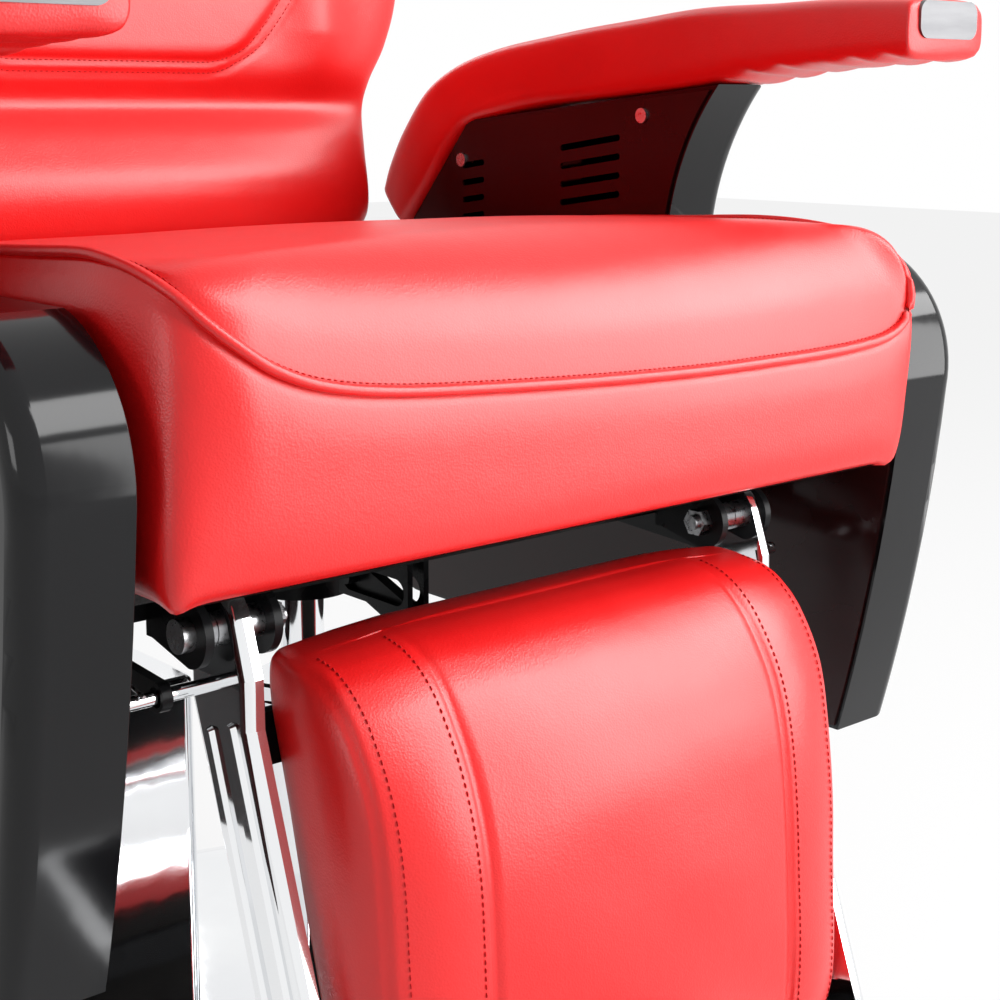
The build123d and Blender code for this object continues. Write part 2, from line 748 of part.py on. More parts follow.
# Return springs: hooked from the leg arms' crank pins to posts on the side plates
wire_radius = 1
coil_radius = 6
coil_pitch = 2.62
coil_turns = 36
spring_x = 238
hook_overhang = 6
hook_lead = 9
gap_samples = 16
parallel_limit = 1e-9


def spring_line():
    """Ends of the spring's middle line, which runs just above the crank pin and the post."""
    pin = Vector(spring_x, leg_pin_y, leg_pin_z)
    post = Vector(spring_x, spring_post_y, spring_post_z)
    along = (post - pin).normalized()
    lift = Vector(1, 0, 0).cross(along) * (spring_post_radius + wire_radius + side_clearance)
    return pin + lift - along * hook_overhang, post + lift + along * hook_overhang


spring_front, spring_rear = spring_line()
spring_axis = (spring_rear - spring_front).normalized()
spring_side = Vector(1, 0, 0)
spring_up = spring_side.cross(spring_axis)
coil_length = coil_pitch * coil_turns
coil_start = spring_front + spring_axis * (((spring_rear - spring_front).length - coil_length) / 2)


def coil_point(turn):
    """Point of the helix after the given number of turns."""
    angle = radians(360 * turn)
    return (coil_start + spring_axis * (coil_pitch * turn)
            + spring_side * (coil_radius * cos(angle)) + spring_up * (coil_radius * sin(angle)))


def coil_heading(turn):
    """Direction of the helix after the given number of turns."""
    angle = radians(360 * turn)
    around = spring_up * cos(angle) - spring_side * sin(angle)
    return (around * (radians(360) * coil_radius) + spring_axis * coil_pitch).normalized()


def biarc(start, heading, stop, stop_heading):
    """Two arcs that leave start along heading and reach stop along stop_heading, without a kink."""
    chord = stop - start
    both = heading + stop_heading
    a = 2 * (1 - heading.dot(stop_heading))
    b = 2 * chord.dot(both)
    c = -chord.dot(chord)
    reach = -c / b if abs(a) < parallel_limit else (-b + sqrt(b * b - 4 * a * c)) / (2 * a)
    near = start + heading * reach
    far = stop - stop_heading * reach
    joint = (near + far) * 0.5
    TangentArc(start, joint, tangent=heading)
    TangentArc(joint, stop, tangent=(far - near).normalized())


def least_gap(points, reach):
    """Smallest space between parts of the wire that lie further apart along it than reach points."""
    spaces = [(points[i] - points[j]).length
              for i in range(len(points)) for j in range(i + reach, min(i + 4 * reach, len(points)))]
    return min(spaces) - 2 * wire_radius


with BuildPart() as spring_right:
    with BuildLine() as spring_path:
        entry = coil_start - spring_axis * hook_lead
        leave = coil_start + spring_axis * (coil_length + hook_lead)
        Line(spring_front, entry)
        biarc(entry, spring_axis, coil_point(0), coil_heading(0))
        for half in range(2 * coil_turns):
            biarc(coil_point(half / 2), coil_heading(half / 2),
                  coil_point((half + 1) / 2), coil_heading((half + 1) / 2))
        biarc(coil_point(coil_turns), coil_heading(coil_turns), leave, spring_axis)
        Line(leave, spring_rear)
    with BuildSketch(Plane(origin=spring_front, z_dir=spring_axis)):
        Circle(wire_radius)
    sweep()
coil_samples = [coil_point(step / gap_samples) for step in range(coil_turns * gap_samples)]
print("least gap in the springs, mm:", round(least_gap(coil_samples, gap_samples // 2), 2))
keep(spring_right, "spring_right")
mirrored(spring_right, "spring_left")

# Side shells: hollow covers beside the seat that rise into the arm pillars
shell_inner = seat_width / 2 + side_gap
plate_thickness = 2
shell_outer = shell_inner + shell_width
shell_top_front = 582
shell_front = -283
shell_rear = 256
shell_wall = 3
shell_rounding = 14
pillar_foot_y = -69
pillar_head_y = -117
pillar_head_z = 689
pillar_dip_share = 0.3
toe_setback = 45
brow_setback = 61
brow_share = 0.72
toe_bow_share = 0.62
saddle_height = 662
saddle_y = 158
shoulder_y = 232
shoulder_height = 579
heel_round = 30


def shell_outline():
    """Side outline of a shell, seen along X, as a face."""
    height = shell_top_front - shell_bottom
    brow_z = shell_bottom + brow_share * height
    bow_z = (shell_bottom + brow_z) / 2
    bow_y = shell_front + toe_setback * (1 - toe_bow_share)
    with BuildSketch() as outline:
        with BuildLine():
            ThreePointArc((shell_front + toe_setback, shell_bottom), (bow_y, bow_z), (shell_front, brow_z))
            ThreePointArc((shell_front, brow_z),
                          (shell_front + brow_setback / 4, shell_top_front - brow_setback / 2),
                          (shell_front + brow_setback, shell_top_front))
            Line((shell_front + brow_setback, shell_top_front), (pillar_foot_y, shell_top_front))
            ThreePointArc((pillar_foot_y, shell_top_front),
                          (pillar_foot_y + pillar_dip_share * (pillar_head_y - pillar_foot_y),
                           (shell_top_front + pillar_head_z) / 2),
                          (pillar_head_y, pillar_head_z))
            Polyline((pillar_head_y, pillar_head_z), (saddle_y, saddle_height), (shoulder_y, shoulder_height),
                     (shell_rear, shell_top_front - 2 * heel_round), (shell_rear, shell_bottom + heel_round))
            ThreePointArc((shell_rear, shell_bottom + heel_round),
                          (shell_rear - heel_round / 4, shell_bottom + heel_round / 4),
                          (shell_rear - heel_round, shell_bottom))
            Line((shell_rear - heel_round, shell_bottom), (shell_front + toe_setback, shell_bottom))
        make_face()
    return outline.sketch


lever_axis_y = 60
lever_axis_z = 330
lever_shaft_radius = 6

with BuildPart() as shell_hollow:
    with BuildSketch(side_plane(shell_inner)):
        add(shell_outline())
        offset(amount=-shell_wall, mode=Mode.REPLACE)
    extrude(amount=shell_width - shell_wall)
    fillet(shell_hollow.faces().sort_by(Axis.X)[-1].edges(), shell_rounding - shell_wall)

with BuildPart() as shell_right:
    with BuildSketch(side_plane(shell_inner + plate_thickness)):
        add(shell_outline())
    extrude(amount=shell_width - plate_thickness)
    fillet(shell_right.faces().sort_by(Axis.X)[-1].edges(), shell_rounding)
    add(shell_hollow.part, mode=Mode.SUBTRACT)
keep(shell_right, "shell_right")

with BuildPart() as shell_left:
    add(mirror(shell_right.part, about=Plane.YZ))
    with BuildSketch(side_plane(-shell_outer - overrun)):
        with Locations((lever_axis_y, lever_axis_z)):
            Circle(lever_shaft_radius + running_fit)
    extrude(amount=shell_wall + 2 * overrun, mode=Mode.SUBTRACT)
keep(shell_left, "shell_left")

# Shell plates: thin inner plates that close the shells, with air slots beside the sitter's elbow
louvre_height = 5
louvre_pitch = 14
louvre_rows = 4
front_louvre_y = 12
front_louvre_length = 66
rear_louvre_y = 150
rear_louvre_length = 28
louvre_top = 648
louvre_slope = 8
plate_screw_radius = 3
plate_screw_places = ((164, 630), (-44, 667), (-150, 480), (200, 300), (-150, 300))

for hand, name in ((1, "shell_plate_right"), (-1, "shell_plate_left")):
    with BuildPart() as shell_plate:
        with BuildSketch(side_plane(shell_inner)):
            add(shell_outline())
            offset(amount=-shell_wall, mode=Mode.REPLACE)
            for row in range(louvre_rows):
                for y, length in ((front_louvre_y, front_louvre_length), (rear_louvre_y, rear_louvre_length)):
                    with Locations(Location((y, louvre_top - row * louvre_pitch - y * tan(radians(louvre_slope))),
                                            -louvre_slope)):
                        SlotOverall(length, louvre_height, mode=Mode.SUBTRACT)
            with Locations(*plate_screw_places):
                Circle(plate_screw_radius, mode=Mode.SUBTRACT)
            if hand < 0:
                with Locations((lever_axis_y, lever_axis_z)):
                    Circle(lever_shaft_radius + running_fit, mode=Mode.SUBTRACT)
        extrude(amount=plate_thickness)
    if hand < 0:
        mirrored(shell_plate, name)
    else:
        keep(shell_plate, name)

# Plate screws: round-headed screws of the two inner plates
screw_head_radius = 5.5
screw_head_height = 2

with BuildPart() as plate_screws:
    for place in plate_screw_places:
        with BuildSketch(side_plane(shell_inner - screw_head_height)):
            with Locations(place):
                Circle(screw_head_radius)
        extrude(amount=screw_head_height)
        with BuildSketch(side_plane(shell_inner)):
            with Locations(place):
                Circle(plate_screw_radius)
        extrude(amount=2 * overrun)
    mirror(about=Plane.YZ)
keep(plate_screws, "plate_screws")

# Shell spacers: blocks between the side plates and the shells' inner plates
spacer_depth = 36
spacer_places_y = (-130, 60, 200)

with BuildPart() as shell_spacers:
    for y in spacer_places_y:
        with BuildSketch(side_plane(side_plate_inner + steel_plate)):
            with Locations((y, (side_plate_bottom + frame_top) / 2)):
                Rectangle(spacer_depth, frame_top - side_plate_bottom - sheet_metal)
        extrude(amount=shell_inner - side_plate_inner - steel_plate)
    mirror(about=Plane.YZ)
keep(shell_spacers, "shell_spacers")

# Arm bars: steel flats inside the arm pads, bolted on the pillars
pad_inner = 272
bar_half_width = 14
bar_thickness = 6
arm_slope = (pillar_head_z - saddle_height) / (pillar_head_y - saddle_y)
arm_front = -280
bar_middle_x = pad_inner + arm_pad_width / 2
bar_rise = 6


def arm_bottom_z(y):
    """Height of the arm pad's straight underside at the given y."""
    return pillar_head_z + cloth_gap + arm_slope * (y - pillar_head_y)


def arm_bar_outline():
    """Side outline of the flat bar inside an arm pad, as a face."""
    front = arm_front + bar_half_width
    with BuildSketch() as outline:
        with BuildLine():
            Polyline((front, arm_bottom_z(front) + bar_rise), (saddle_y, arm_bottom_z(saddle_y) + bar_rise),
                     (saddle_y, arm_bottom_z(saddle_y) + bar_rise + bar_thickness),
                     (front, arm_bottom_z(front) + bar_rise + bar_thickness), close=True)
        make_face()
    return outline.sketch


with BuildPart() as arm_bars:
    with BuildSketch(side_plane(bar_middle_x - bar_half_width)):
        add(arm_bar_outline())
    extrude(amount=2 * bar_half_width)
    mirror(about=Plane.YZ)
keep(arm_bars, "arm_bars")

# Arm pads: leather pads that run level over the pillar and bend down behind the elbow
pad_front_height = 46
pad_saddle_height = 58
pad_rear_y = 272
pad_rear_z = 604
pad_tail_y = 243
pad_tail_z = 572
pad_shoulder_y = 226
pad_shoulder_z = 676
pad_corner = 14
pad_rounding = 12

with BuildPart() as arm_pad_right:
    with BuildSketch(side_plane(pad_inner)) as pad_outline:
        with BuildLine():
            Polyline((arm_front, arm_bottom_z(arm_front)), (saddle_y, arm_bottom_z(saddle_y)),
                     (pad_tail_y, pad_tail_z), (pad_rear_y, pad_rear_z))
            ThreePointArc((pad_rear_y, pad_rear_z), (pad_shoulder_y, pad_shoulder_z),
                          (saddle_y, arm_bottom_z(saddle_y) + pad_saddle_height))
            Polyline((saddle_y, arm_bottom_z(saddle_y) + pad_saddle_height),
                     (pillar_head_y, arm_bottom_z(pillar_head_y) + pad_front_height),
                     (arm_front, arm_bottom_z(pillar_head_y) + pad_front_height + overrun),
                     (arm_front, arm_bottom_z(arm_front)))
        make_face()
        fillet(pad_outline.vertices().sort_by_distance((saddle_y, arm_bottom_z(saddle_y)))[1:], pad_corner)
    extrude(amount=arm_pad_width)
    fillet(arm_pad_right.faces().filter_by(Axis.X).edges(), pad_rounding)
    with BuildSketch(side_plane(bar_middle_x - bar_half_width)):
        add(arm_bar_outline())
    extrude(amount=2 * bar_half_width, mode=Mode.SUBTRACT)
keep(arm_pad_right, "arm_pad_right")
mirrored(arm_pad_right, "arm_pad_left")

# Arm caps: bright metal plates on the pads' front ends
cap_thickness = 4
cap_width = 60
cap_height = 24
cap_corner = 8

with BuildPart() as arm_caps:
    cap_z = arm_bottom_z(arm_front) + pad_front_height / 2
    for hand in (1, -1):
        with BuildSketch(Plane.XZ.offset(-arm_front)):
            with Locations((hand * bar_middle_x, cap_z)):
                RectangleRounded(cap_width, cap_height, cap_corner)
        extrude(amount=cap_thickness)
keep(arm_caps, "arm_caps")

# Back hinge: pins in the side plates, dog-leg arms outside the cushion, and the tube that ties them
back_arm_x = 236
back_arm_thickness = 8
back_lobe_radius = 27
back_arm_half = 18
arm_elbow_y = 82
arm_elbow_h = 130
arm_head_h = 400
tie_radius = 7
tie_offset = 18
strut_crank = 44
strut_x = 60
strut_crank_thickness = 8
strut_lobe_radius = 9


def back_plane(h):
    """Plane across the back at distance h above its hinge, leaning with the back."""
    tilt = radians(back_tilt)
    return Plane(origin=(0, back_axis_y + h * sin(tilt), back_axis_z + h * cos(tilt)),
                 x_dir=(1, 0, 0), z_dir=(0, sin(tilt), cos(tilt)))


def back_side_plane(x):
    """Plane facing +X on the back's hinge, with sketch axes across and up the leaning back."""
    tilt = radians(back_tilt)
    return Plane(origin=(x, back_axis_y, back_axis_z), x_dir=(0, cos(tilt), -sin(tilt)), z_dir=(1, 0, 0))


with BuildPart() as back_hinge_pins:
    with BuildSketch(side_plane(back_arm_x)):
        with Locations((back_axis_y, back_axis_z)):
            Circle(hinge_pin_radius)
    extrude(amount=side_plate_inner + steel_plate + sheet_metal - back_arm_x)
    mirror(about=Plane.YZ)
keep(back_hinge_pins, "back_hinge_pins")

with BuildPart() as back_arm_right:
    with BuildSketch(back_side_plane(back_arm_x)):
        Circle(back_lobe_radius)
        with BuildLine():
            Polyline((-back_arm_half, 0), (back_arm_half, 0),
                     (arm_elbow_y + back_arm_half, arm_elbow_h), (arm_elbow_y + back_arm_half, arm_head_h),
                     (arm_elbow_y - back_arm_half, arm_head_h), (arm_elbow_y - back_arm_half, arm_elbow_h),
                     close=True)
        make_face()
        Circle(hinge_pin_radius + running_fit, mode=Mode.SUBTRACT)
    extrude(amount=back_arm_thickness)
    with BuildSketch(side_plane(link_x - sheet_metal)):
        with Locations((back_pin_y, back_pin_z)):
            Circle(crank_pin_radius)
    extrude(amount=back_arm_x - link_x + sheet_metal)
keep(back_arm_right, "back_arm_right")
mirrored(back_arm_right, "back_arm_left")

strut_pin_y = back_axis_y + strut_crank * sin(radians(back_swing / 2))
strut_pin_z = back_axis_z - strut_crank * cos(radians(back_swing / 2))

with BuildPart() as back_tube:
    with BuildSketch(side_plane(-back_arm_x)):
        with Locations((back_axis_y + tie_offset, back_axis_z)):
            Circle(tie_radius)
    extrude(amount=2 * back_arm_x)
    with BuildSketch(side_plane(strut_x + side_clearance)):
        with BuildLine():
            Polyline((back_axis_y + tie_offset - tie_radius, back_axis_z),
                     (back_axis_y + tie_offset + tie_radius, back_axis_z),
                     (strut_pin_y + strut_lobe_radius, strut_pin_z), (strut_pin_y - strut_lobe_radius, strut_pin_z),
                     close=True)
        make_face()
        with Locations((strut_pin_y, strut_pin_z)):
            Circle(strut_lobe_radius)
    extrude(amount=strut_crank_thickness)
    with BuildSketch(side_plane(strut_x - strut_crank_thickness - side_clearance)):
        with Locations((strut_pin_y, strut_pin_z)):
            Circle(crank_pin_radius)
    extrude(amount=strut_crank_thickness + 2 * side_clearance)
keep(back_tube, "back_tube")

# Recline lock: cylinder hung from the rear bar, and the rod that the back's crank draws in and out
lock_radius = 16
lock_bore = 13
lock_front = 80
lock_rear = 205
lock_wall = 6
lock_rod_radius = 4
lock_rod_front = 150
rod_eye_radius = 9
lock_x = strut_x - strut_crank_thickness / 2

with BuildPart() as recline_cylinder:
    with BuildSketch(Plane.XZ.offset(-lock_front)):
        with Locations((lock_x, strut_pin_z)):
            Circle(lock_radius)
    extrude(amount=-(lock_rear - lock_front))
    with BuildSketch(Plane.XZ.offset(-lock_front - lock_wall)):
        with Locations((lock_x, strut_pin_z)):
            Circle(lock_bore)
    extrude(amount=-(lock_rear - lock_front), mode=Mode.SUBTRACT)
    with BuildSketch(Plane.XZ.offset(-(rear_bar_y - front_tube_depth / 2))):
        with Locations((lock_x, (strut_pin_z + lock_bore + rear_bar_bottom) / 2)):
            Rectangle(lock_bore, rear_bar_bottom - strut_pin_z - lock_bore)
    extrude(amount=-front_tube_depth)
keep(recline_cylinder, "recline_cylinder")

with BuildPart() as recline_rod:
    with BuildSketch(Plane.XZ.offset(-lock_rod_front)):
        with Locations((lock_x, strut_pin_z)):
            Circle(lock_rod_radius)
    extrude(amount=-(strut_pin_y - lock_rod_front - lock_rod_radius))
    with BuildSketch(side_plane(strut_x - strut_crank_thickness)):
        with Locations((strut_pin_y, strut_pin_z)):
            Circle(rod_eye_radius)
    extrude(amount=strut_crank_thickness)
    with BuildSketch(side_plane(strut_x - 2 * strut_crank_thickness)):
        with Locations((strut_pin_y, strut_pin_z)):
            Circle(crank_pin_radius + running_fit)
    extrude(amount=2 * strut_crank_thickness, mode=Mode.SUBTRACT)
keep(recline_rod, "recline_rod")

# Back board: plywood behind the back cushion, wider above the arms
back_front = -28
back_depth = 80
back_board_thickness = 12
board_base_h = 152
board_waist_h = 250
board_wide_h = 335
board_high_h = 535
board_top_h = 612
board_low_half = 214
board_wide_half = 250
board_head_half = 165
board_front = back_front + back_depth

with BuildPart() as back_board:
    with BuildSketch(Plane(origin=(0, back_axis_y + board_front * cos(radians(back_tilt)),
                                   back_axis_z - board_front * sin(radians(back_tilt))),
                           x_dir=(-1, 0, 0), z_dir=(0, cos(radians(back_tilt)), -sin(radians(back_tilt))))):
        with BuildLine():
            Polyline((-board_low_half, board_base_h), (board_low_half, board_base_h),
                     (board_low_half, board_waist_h), (board_wide_half, board_wide_h),
                     (board_wide_half, board_high_h), (board_head_half, board_top_h),
                     (-board_head_half, board_top_h), (-board_wide_half, board_high_h),
                     (-board_wide_half, board_wide_h), (-board_low_half, board_waist_h), close=True)
        make_face()
    extrude(amount=back_board_thickness)
keep(back_board, "back_board")

# Back cushion: lumbar roll, hollow band above it, and a wide upper part with a sewn centre panel
back_heights = [145, 165, 215, 258, 300, 350, 430, 520, 590, 625, 640]
back_half_widths = [222, 236, 238, 241, 266, 287, 300, 292, 256, 220, 196]
back_bulges = [-16, 6, 16, -6, 4, 12, 16, 16, 12, 2, -12]
back_side_set = 16

with BuildPart() as back_cushion:
    for h, half, bulge in zip(back_heights, back_half_widths, back_bulges):
        with BuildSketch(back_plane(h)):
            front = back_front
            middle = front - bulge
            rear = board_front - cloth_gap
            with BuildLine():
                Line((-half + back_side_set, rear), (half - back_side_set, rear))
                ThreePointArc((half - back_side_set, rear), (half, (front + rear) / 2),
                              (half - back_side_set, front + back_side_set / 2))
                ThreePointArc((half - back_side_set, front + back_side_set / 2), (0, middle),
                              (-half + back_side_set, front + back_side_set / 2))
                ThreePointArc((-half + back_side_set, front + back_side_set / 2),
                              (-half, (front + rear) / 2), (-half + back_side_set, rear))
            make_face()
    loft()
keep(back_cushion, "back_cushion")

# Headrest: guide block on the board, frame of two chromed rods and a plate, pad, and clamp knob
stem_radius = 6
stem_x = 62
stem_below_guide = 45
stem_above_plate = 16
guide_below_top = 67
guide_height = 55
guide_side_margin = 20
guide_half_depth = 14
head_plate_rise = 32
head_plate_height = 44
head_plate_thickness = 5
head_plate_weld = 1
head_pad_above_board = 56
head_pad_height = 138
head_pad_half = 132
head_pad_depth = 72
head_pad_bulge = 14
guide_low_h = board_top_h - guide_below_top
guide_high_h = guide_low_h + guide_height
guide_half_width = stem_x + guide_side_margin
stem_y = board_front + back_board_thickness + guide_half_depth
stem_low_h = guide_low_h - stem_below_guide
head_pad_low_h = board_top_h + head_pad_above_board
head_plate_h = head_pad_low_h + head_plate_rise
stem_high_h = head_plate_h + head_plate_height + stem_above_plate
knob_h = (guide_low_h + guide_high_h) / 2
knob_radius = 17
knob_length = 20
knob_stud_radius = 4
stud_tip = 7

with BuildPart() as headrest_guide:
    with BuildSketch(back_plane(guide_low_h)):
        with Locations((0, stem_y)):
            Rectangle(2 * guide_half_width, 2 * guide_half_depth)
        with Locations((stem_x, stem_y), (-stem_x, stem_y)):
            Circle(stem_radius + running_fit, mode=Mode.SUBTRACT)
    extrude(amount=guide_high_h - guide_low_h)
    with BuildSketch(Plane(back_plane(knob_h).location * Location((0, stem_y, 0), (-90, 0, 0)))):
        Circle(knob_stud_radius + running_fit)
    extrude(amount=guide_half_depth + overrun, mode=Mode.SUBTRACT)
keep(headrest_guide, "headrest_guide")

with BuildPart() as headrest_frame:
    for x in (stem_x, -stem_x):
        with BuildSketch(back_plane(stem_low_h)):
            with Locations((x, stem_y)):
                Circle(stem_radius)
        extrude(amount=stem_high_h - stem_low_h)
    with BuildSketch(back_plane(head_plate_h)):
        with Locations((0, stem_y - stem_radius - head_plate_thickness / 2 + head_plate_weld)):
            Rectangle(2 * stem_x + head_plate_height, head_plate_thickness)
    extrude(amount=head_plate_height)
keep(headrest_frame, "headrest_frame")

head_pad_back = stem_y - stem_radius - head_plate_thickness + head_plate_weld - cloth_gap
head_height_share = [0, 0.08, 0.5, 0.92, 1]
head_width_share = [0.88, 0.97, 1, 0.97, 0.88]
head_depth_share = [0.66, 0.92, 1, 0.92, 0.66]

with BuildPart() as headrest_pad:
    for rise, wide, deep in zip(head_height_share, head_width_share, head_depth_share):
        half = head_pad_half * wide
        front = head_pad_back - head_pad_depth * deep
        corner = head_pad_bulge
        with BuildSketch(back_plane(head_pad_low_h + rise * head_pad_height)):
            with BuildLine():
                Line((-half + corner, head_pad_back), (half - corner, head_pad_back))
                ThreePointArc((half - corner, head_pad_back), (half, (head_pad_back + front) / 2),
                              (half - corner, front + corner))
                ThreePointArc((half - corner, front + corner), (0, front), (-half + corner, front + corner))
                ThreePointArc((-half + corner, front + corner), (-half, (head_pad_back + front) / 2),
                              (-half + corner, head_pad_back))
            make_face()
    loft()
keep(headrest_pad, "headrest_pad")

with BuildPart() as headrest_knob:
    with BuildSketch(Plane(back_plane(knob_h).location * Location((0, stem_y + stud_tip, 0), (-90, 0, 0)))):
        Circle(knob_stud_radius)
    extrude(amount=guide_half_depth + side_clearance - stud_tip)
    with BuildSketch(Plane(back_plane(knob_h).location
                           * Location((0, stem_y + guide_half_depth + side_clearance, 0), (-90, 0, 0)))):
        RegularPolygon(knob_radius, 8)
    extrude(amount=knob_length)
    fillet(headrest_knob.faces().sort_by(Axis.Y)[-1].edges(), sheet_metal)
keep(headrest_knob, "headrest_knob")

# Recline lever: shaft through the left shell, bar outside it and a ball knob
lever_gap = 3
lever_thickness = 8
lever_half_width = 10
lever_reach_y = -120
lever_reach_z = 60
knob_grip_radius = 12
knob_grip_length = 34
lever_outer = -shell_outer - lever_gap
lever_end_y = lever_axis_y + lever_reach_y
lever_end_z = lever_axis_z + lever_reach_z

with BuildPart() as recline_lever:
    with BuildSketch(side_plane(lever_outer)):
        with Locations((lever_axis_y, lever_axis_z)):
            Circle(lever_shaft_radius)
    extrude(amount=-lever_outer - shell_inner + 2 * overrun)
    with BuildSketch(side_plane(lever_outer - lever_thickness)):
        with Locations((lever_axis_y, lever_axis_z)):
            Circle(lever_half_width + sheet_metal)
        with BuildLine():
            Polyline((lever_axis_y, lever_axis_z - lever_half_width), (lever_end_y, lever_end_z - lever_half_width),
                     (lever_end_y, lever_end_z + lever_half_width), (lever_axis_y, lever_axis_z + lever_half_width),
                     close=True)
        make_face()
    extrude(amount=lever_thickness)
keep(recline_lever, "recline_lever")

with BuildPart() as lever_knob:
    with BuildSketch(side_plane(lever_outer - lever_thickness)):
        with Locations((lever_end_y, lever_end_z)):
            Circle(knob_grip_radius)
    extrude(amount=-knob_grip_length)
    fillet(lever_knob.faces().sort_by(Axis.X)[0].edges(), knob_grip_radius / 2)
keep(lever_knob, "lever_knob")
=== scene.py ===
"""Looks of a reclining hydraulic barber chair, dressed over its solid model.

Lengths are metres, +Z is up and the sitter faces -Y.
"""
import bmesh
import bpy
import numpy as np
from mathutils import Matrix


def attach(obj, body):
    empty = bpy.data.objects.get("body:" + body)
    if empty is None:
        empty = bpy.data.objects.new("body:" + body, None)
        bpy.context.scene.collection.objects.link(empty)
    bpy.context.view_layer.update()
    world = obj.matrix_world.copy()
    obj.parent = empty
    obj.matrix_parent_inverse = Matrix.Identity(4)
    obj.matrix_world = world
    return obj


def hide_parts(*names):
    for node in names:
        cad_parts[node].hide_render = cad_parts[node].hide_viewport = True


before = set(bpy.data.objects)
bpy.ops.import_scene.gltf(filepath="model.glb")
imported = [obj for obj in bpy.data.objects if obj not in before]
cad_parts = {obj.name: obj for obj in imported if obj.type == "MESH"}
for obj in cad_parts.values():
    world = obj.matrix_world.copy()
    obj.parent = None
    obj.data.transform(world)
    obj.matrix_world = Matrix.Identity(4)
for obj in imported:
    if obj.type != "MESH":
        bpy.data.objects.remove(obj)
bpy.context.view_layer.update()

# Welded seat frame, brackets, links and hinge arms: steel bar and plate under a black powder coat,
# with a slight orange-peel skin of uneven gloss. Bolted to the hub plate on top of the column.


def new_node(tree, kind, values):
    """New shader node of a kind, with the given values on its named inputs."""
    made = tree.nodes.new(kind)
    for socket, value in values.items():
        made.inputs[socket].default_value = value
    return made


def finish(name, dark, light, patch, rough, metallic=0.0, specular=0.5, stretch=(1, 1, 1), bumps=()):
    """Surface whose colour runs from dark to light, and whose roughness runs between two values, with a
    soft noise of the given patch size; each bump is (kind, grain size, height)."""
    noise_low, noise_high = 0.3, 0.7
    material = bpy.data.materials.new(name)
    material.use_nodes = True
    tree = material.node_tree
    link = tree.links.new
    shader = tree.nodes["Principled BSDF"]
    shader.inputs["Metallic"].default_value = metallic
    shader.inputs["Specular IOR Level"].default_value = specular
    place = tree.nodes.new("ShaderNodeTexCoord")
    scale = new_node(tree, "ShaderNodeMapping", {"Scale": stretch})
    link(place.outputs["Object"], scale.inputs["Vector"])
    cloud = new_node(tree, "ShaderNodeTexNoise", {"Scale": 1 / patch, "Detail": 5})
    link(scale.outputs["Vector"], cloud.inputs["Vector"])
    tint = tree.nodes.new("ShaderNodeValToRGB")
    first, last = tint.color_ramp.elements
    first.position, last.position = noise_low, noise_high
    first.color, last.color = (*dark, 1), (*light, 1)
    link(cloud.outputs["Fac"], tint.inputs["Fac"])
    link(tint.outputs["Color"], shader.inputs["Base Color"])
    gloss = new_node(tree, "ShaderNodeMapRange", {"From Min": noise_low, "From Max": noise_high,
                                                  "To Min": rough[0], "To Max": rough[1]})
    link(cloud.outputs["Fac"], gloss.inputs["Value"])
    link(gloss.outputs["Result"], shader.inputs["Roughness"])
    before = None
    for kind, grain, height in bumps:
        if kind == "cells":
            texture = new_node(tree, "ShaderNodeTexVoronoi", {"Scale": 1 / grain})
            value = texture.outputs["Distance"]
        else:
            texture = new_node(tree, "ShaderNodeTexNoise", {"Scale": 1 / grain, "Detail": 3})
            value = texture.outputs["Fac"]
        link(scale.outputs["Vector"], texture.inputs["Vector"])
        bump = new_node(tree, "ShaderNodeBump", {"Distance": height})
        link(value, bump.inputs["Height"])
        if before:
            link(before.outputs["Normal"], bump.inputs["Normal"])
        before = bump
    if before:
        link(before.outputs["Normal"], shader.inputs["Normal"])
    return material


def dress(material, *nodes):
    """Gives solids of the frame their finish."""
    for node in nodes:
        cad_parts[node].data.materials.clear()
        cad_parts[node].data.materials.append(material)


powder_coat = finish("powder_coat", (0.007, 0.007, 0.008), (0.012, 0.012, 0.013), 0.03, (0.24, 0.36),
                     specular=0.14, bumps=[("noise", 0.0009, 0.00005)])
dress(powder_coat, "swivel_hub", "seat_rails", "front_cross_tube", "rear_cross_bar", "side_plates",
      "leg_bracket_right", "leg_bracket_left", "leg_cross_bars", "link_right", "link_left", "centre_link",
      "link_guide", "shell_spacers", "back_arm_right", "back_arm_left", "back_tube", "headrest_guide")

# Base and pump: cast iron plate and pump block under a polished dish, cover and column of chromed
# steel, dropped over the castings. The same chrome is on the leg arms, footrest, headrest frame and
# lever. The pedal and the footrest have moulded rubber treads.

cast_iron = finish("cast_iron", (0.012, 0.012, 0.013), (0.03, 0.03, 0.032), 0.02, (0.5, 0.7), specular=0.15,
                   bumps=[("noise", 0.003, 0.0003), ("noise", 0.0008, 0.0001)])
dress(cast_iron, "base_plate", "pump_body")
mirror_chrome = finish("mirror_chrome", (0.80, 0.81, 0.83), (0.88, 0.89, 0.9), 0.15, (0.03, 0.07),
                       metallic=1.0, bumps=[("noise", 0.09, 0.0004)])
dress(mirror_chrome, "base_dish", "pump_cylinder", "pump_gland", "piston_rod", "pump_cover", "pedal_lever",
      "footrest_shaft", "footrest_plate", "headrest_frame", "recline_lever", "leg_arm_right", "leg_arm_left")
moulded_rubber = finish("moulded_rubber", (0.012, 0.012, 0.012), (0.024, 0.024, 0.024), 0.01, (0.7, 0.85),
                        bumps=[("noise", 0.0006, 0.00008)])
dress(moulded_rubber, "pedal_pad", "footrest_tread")

# Boards under the cushions: plywood stained black, the grain still felt through the stain, screwed to
# the frame from below.

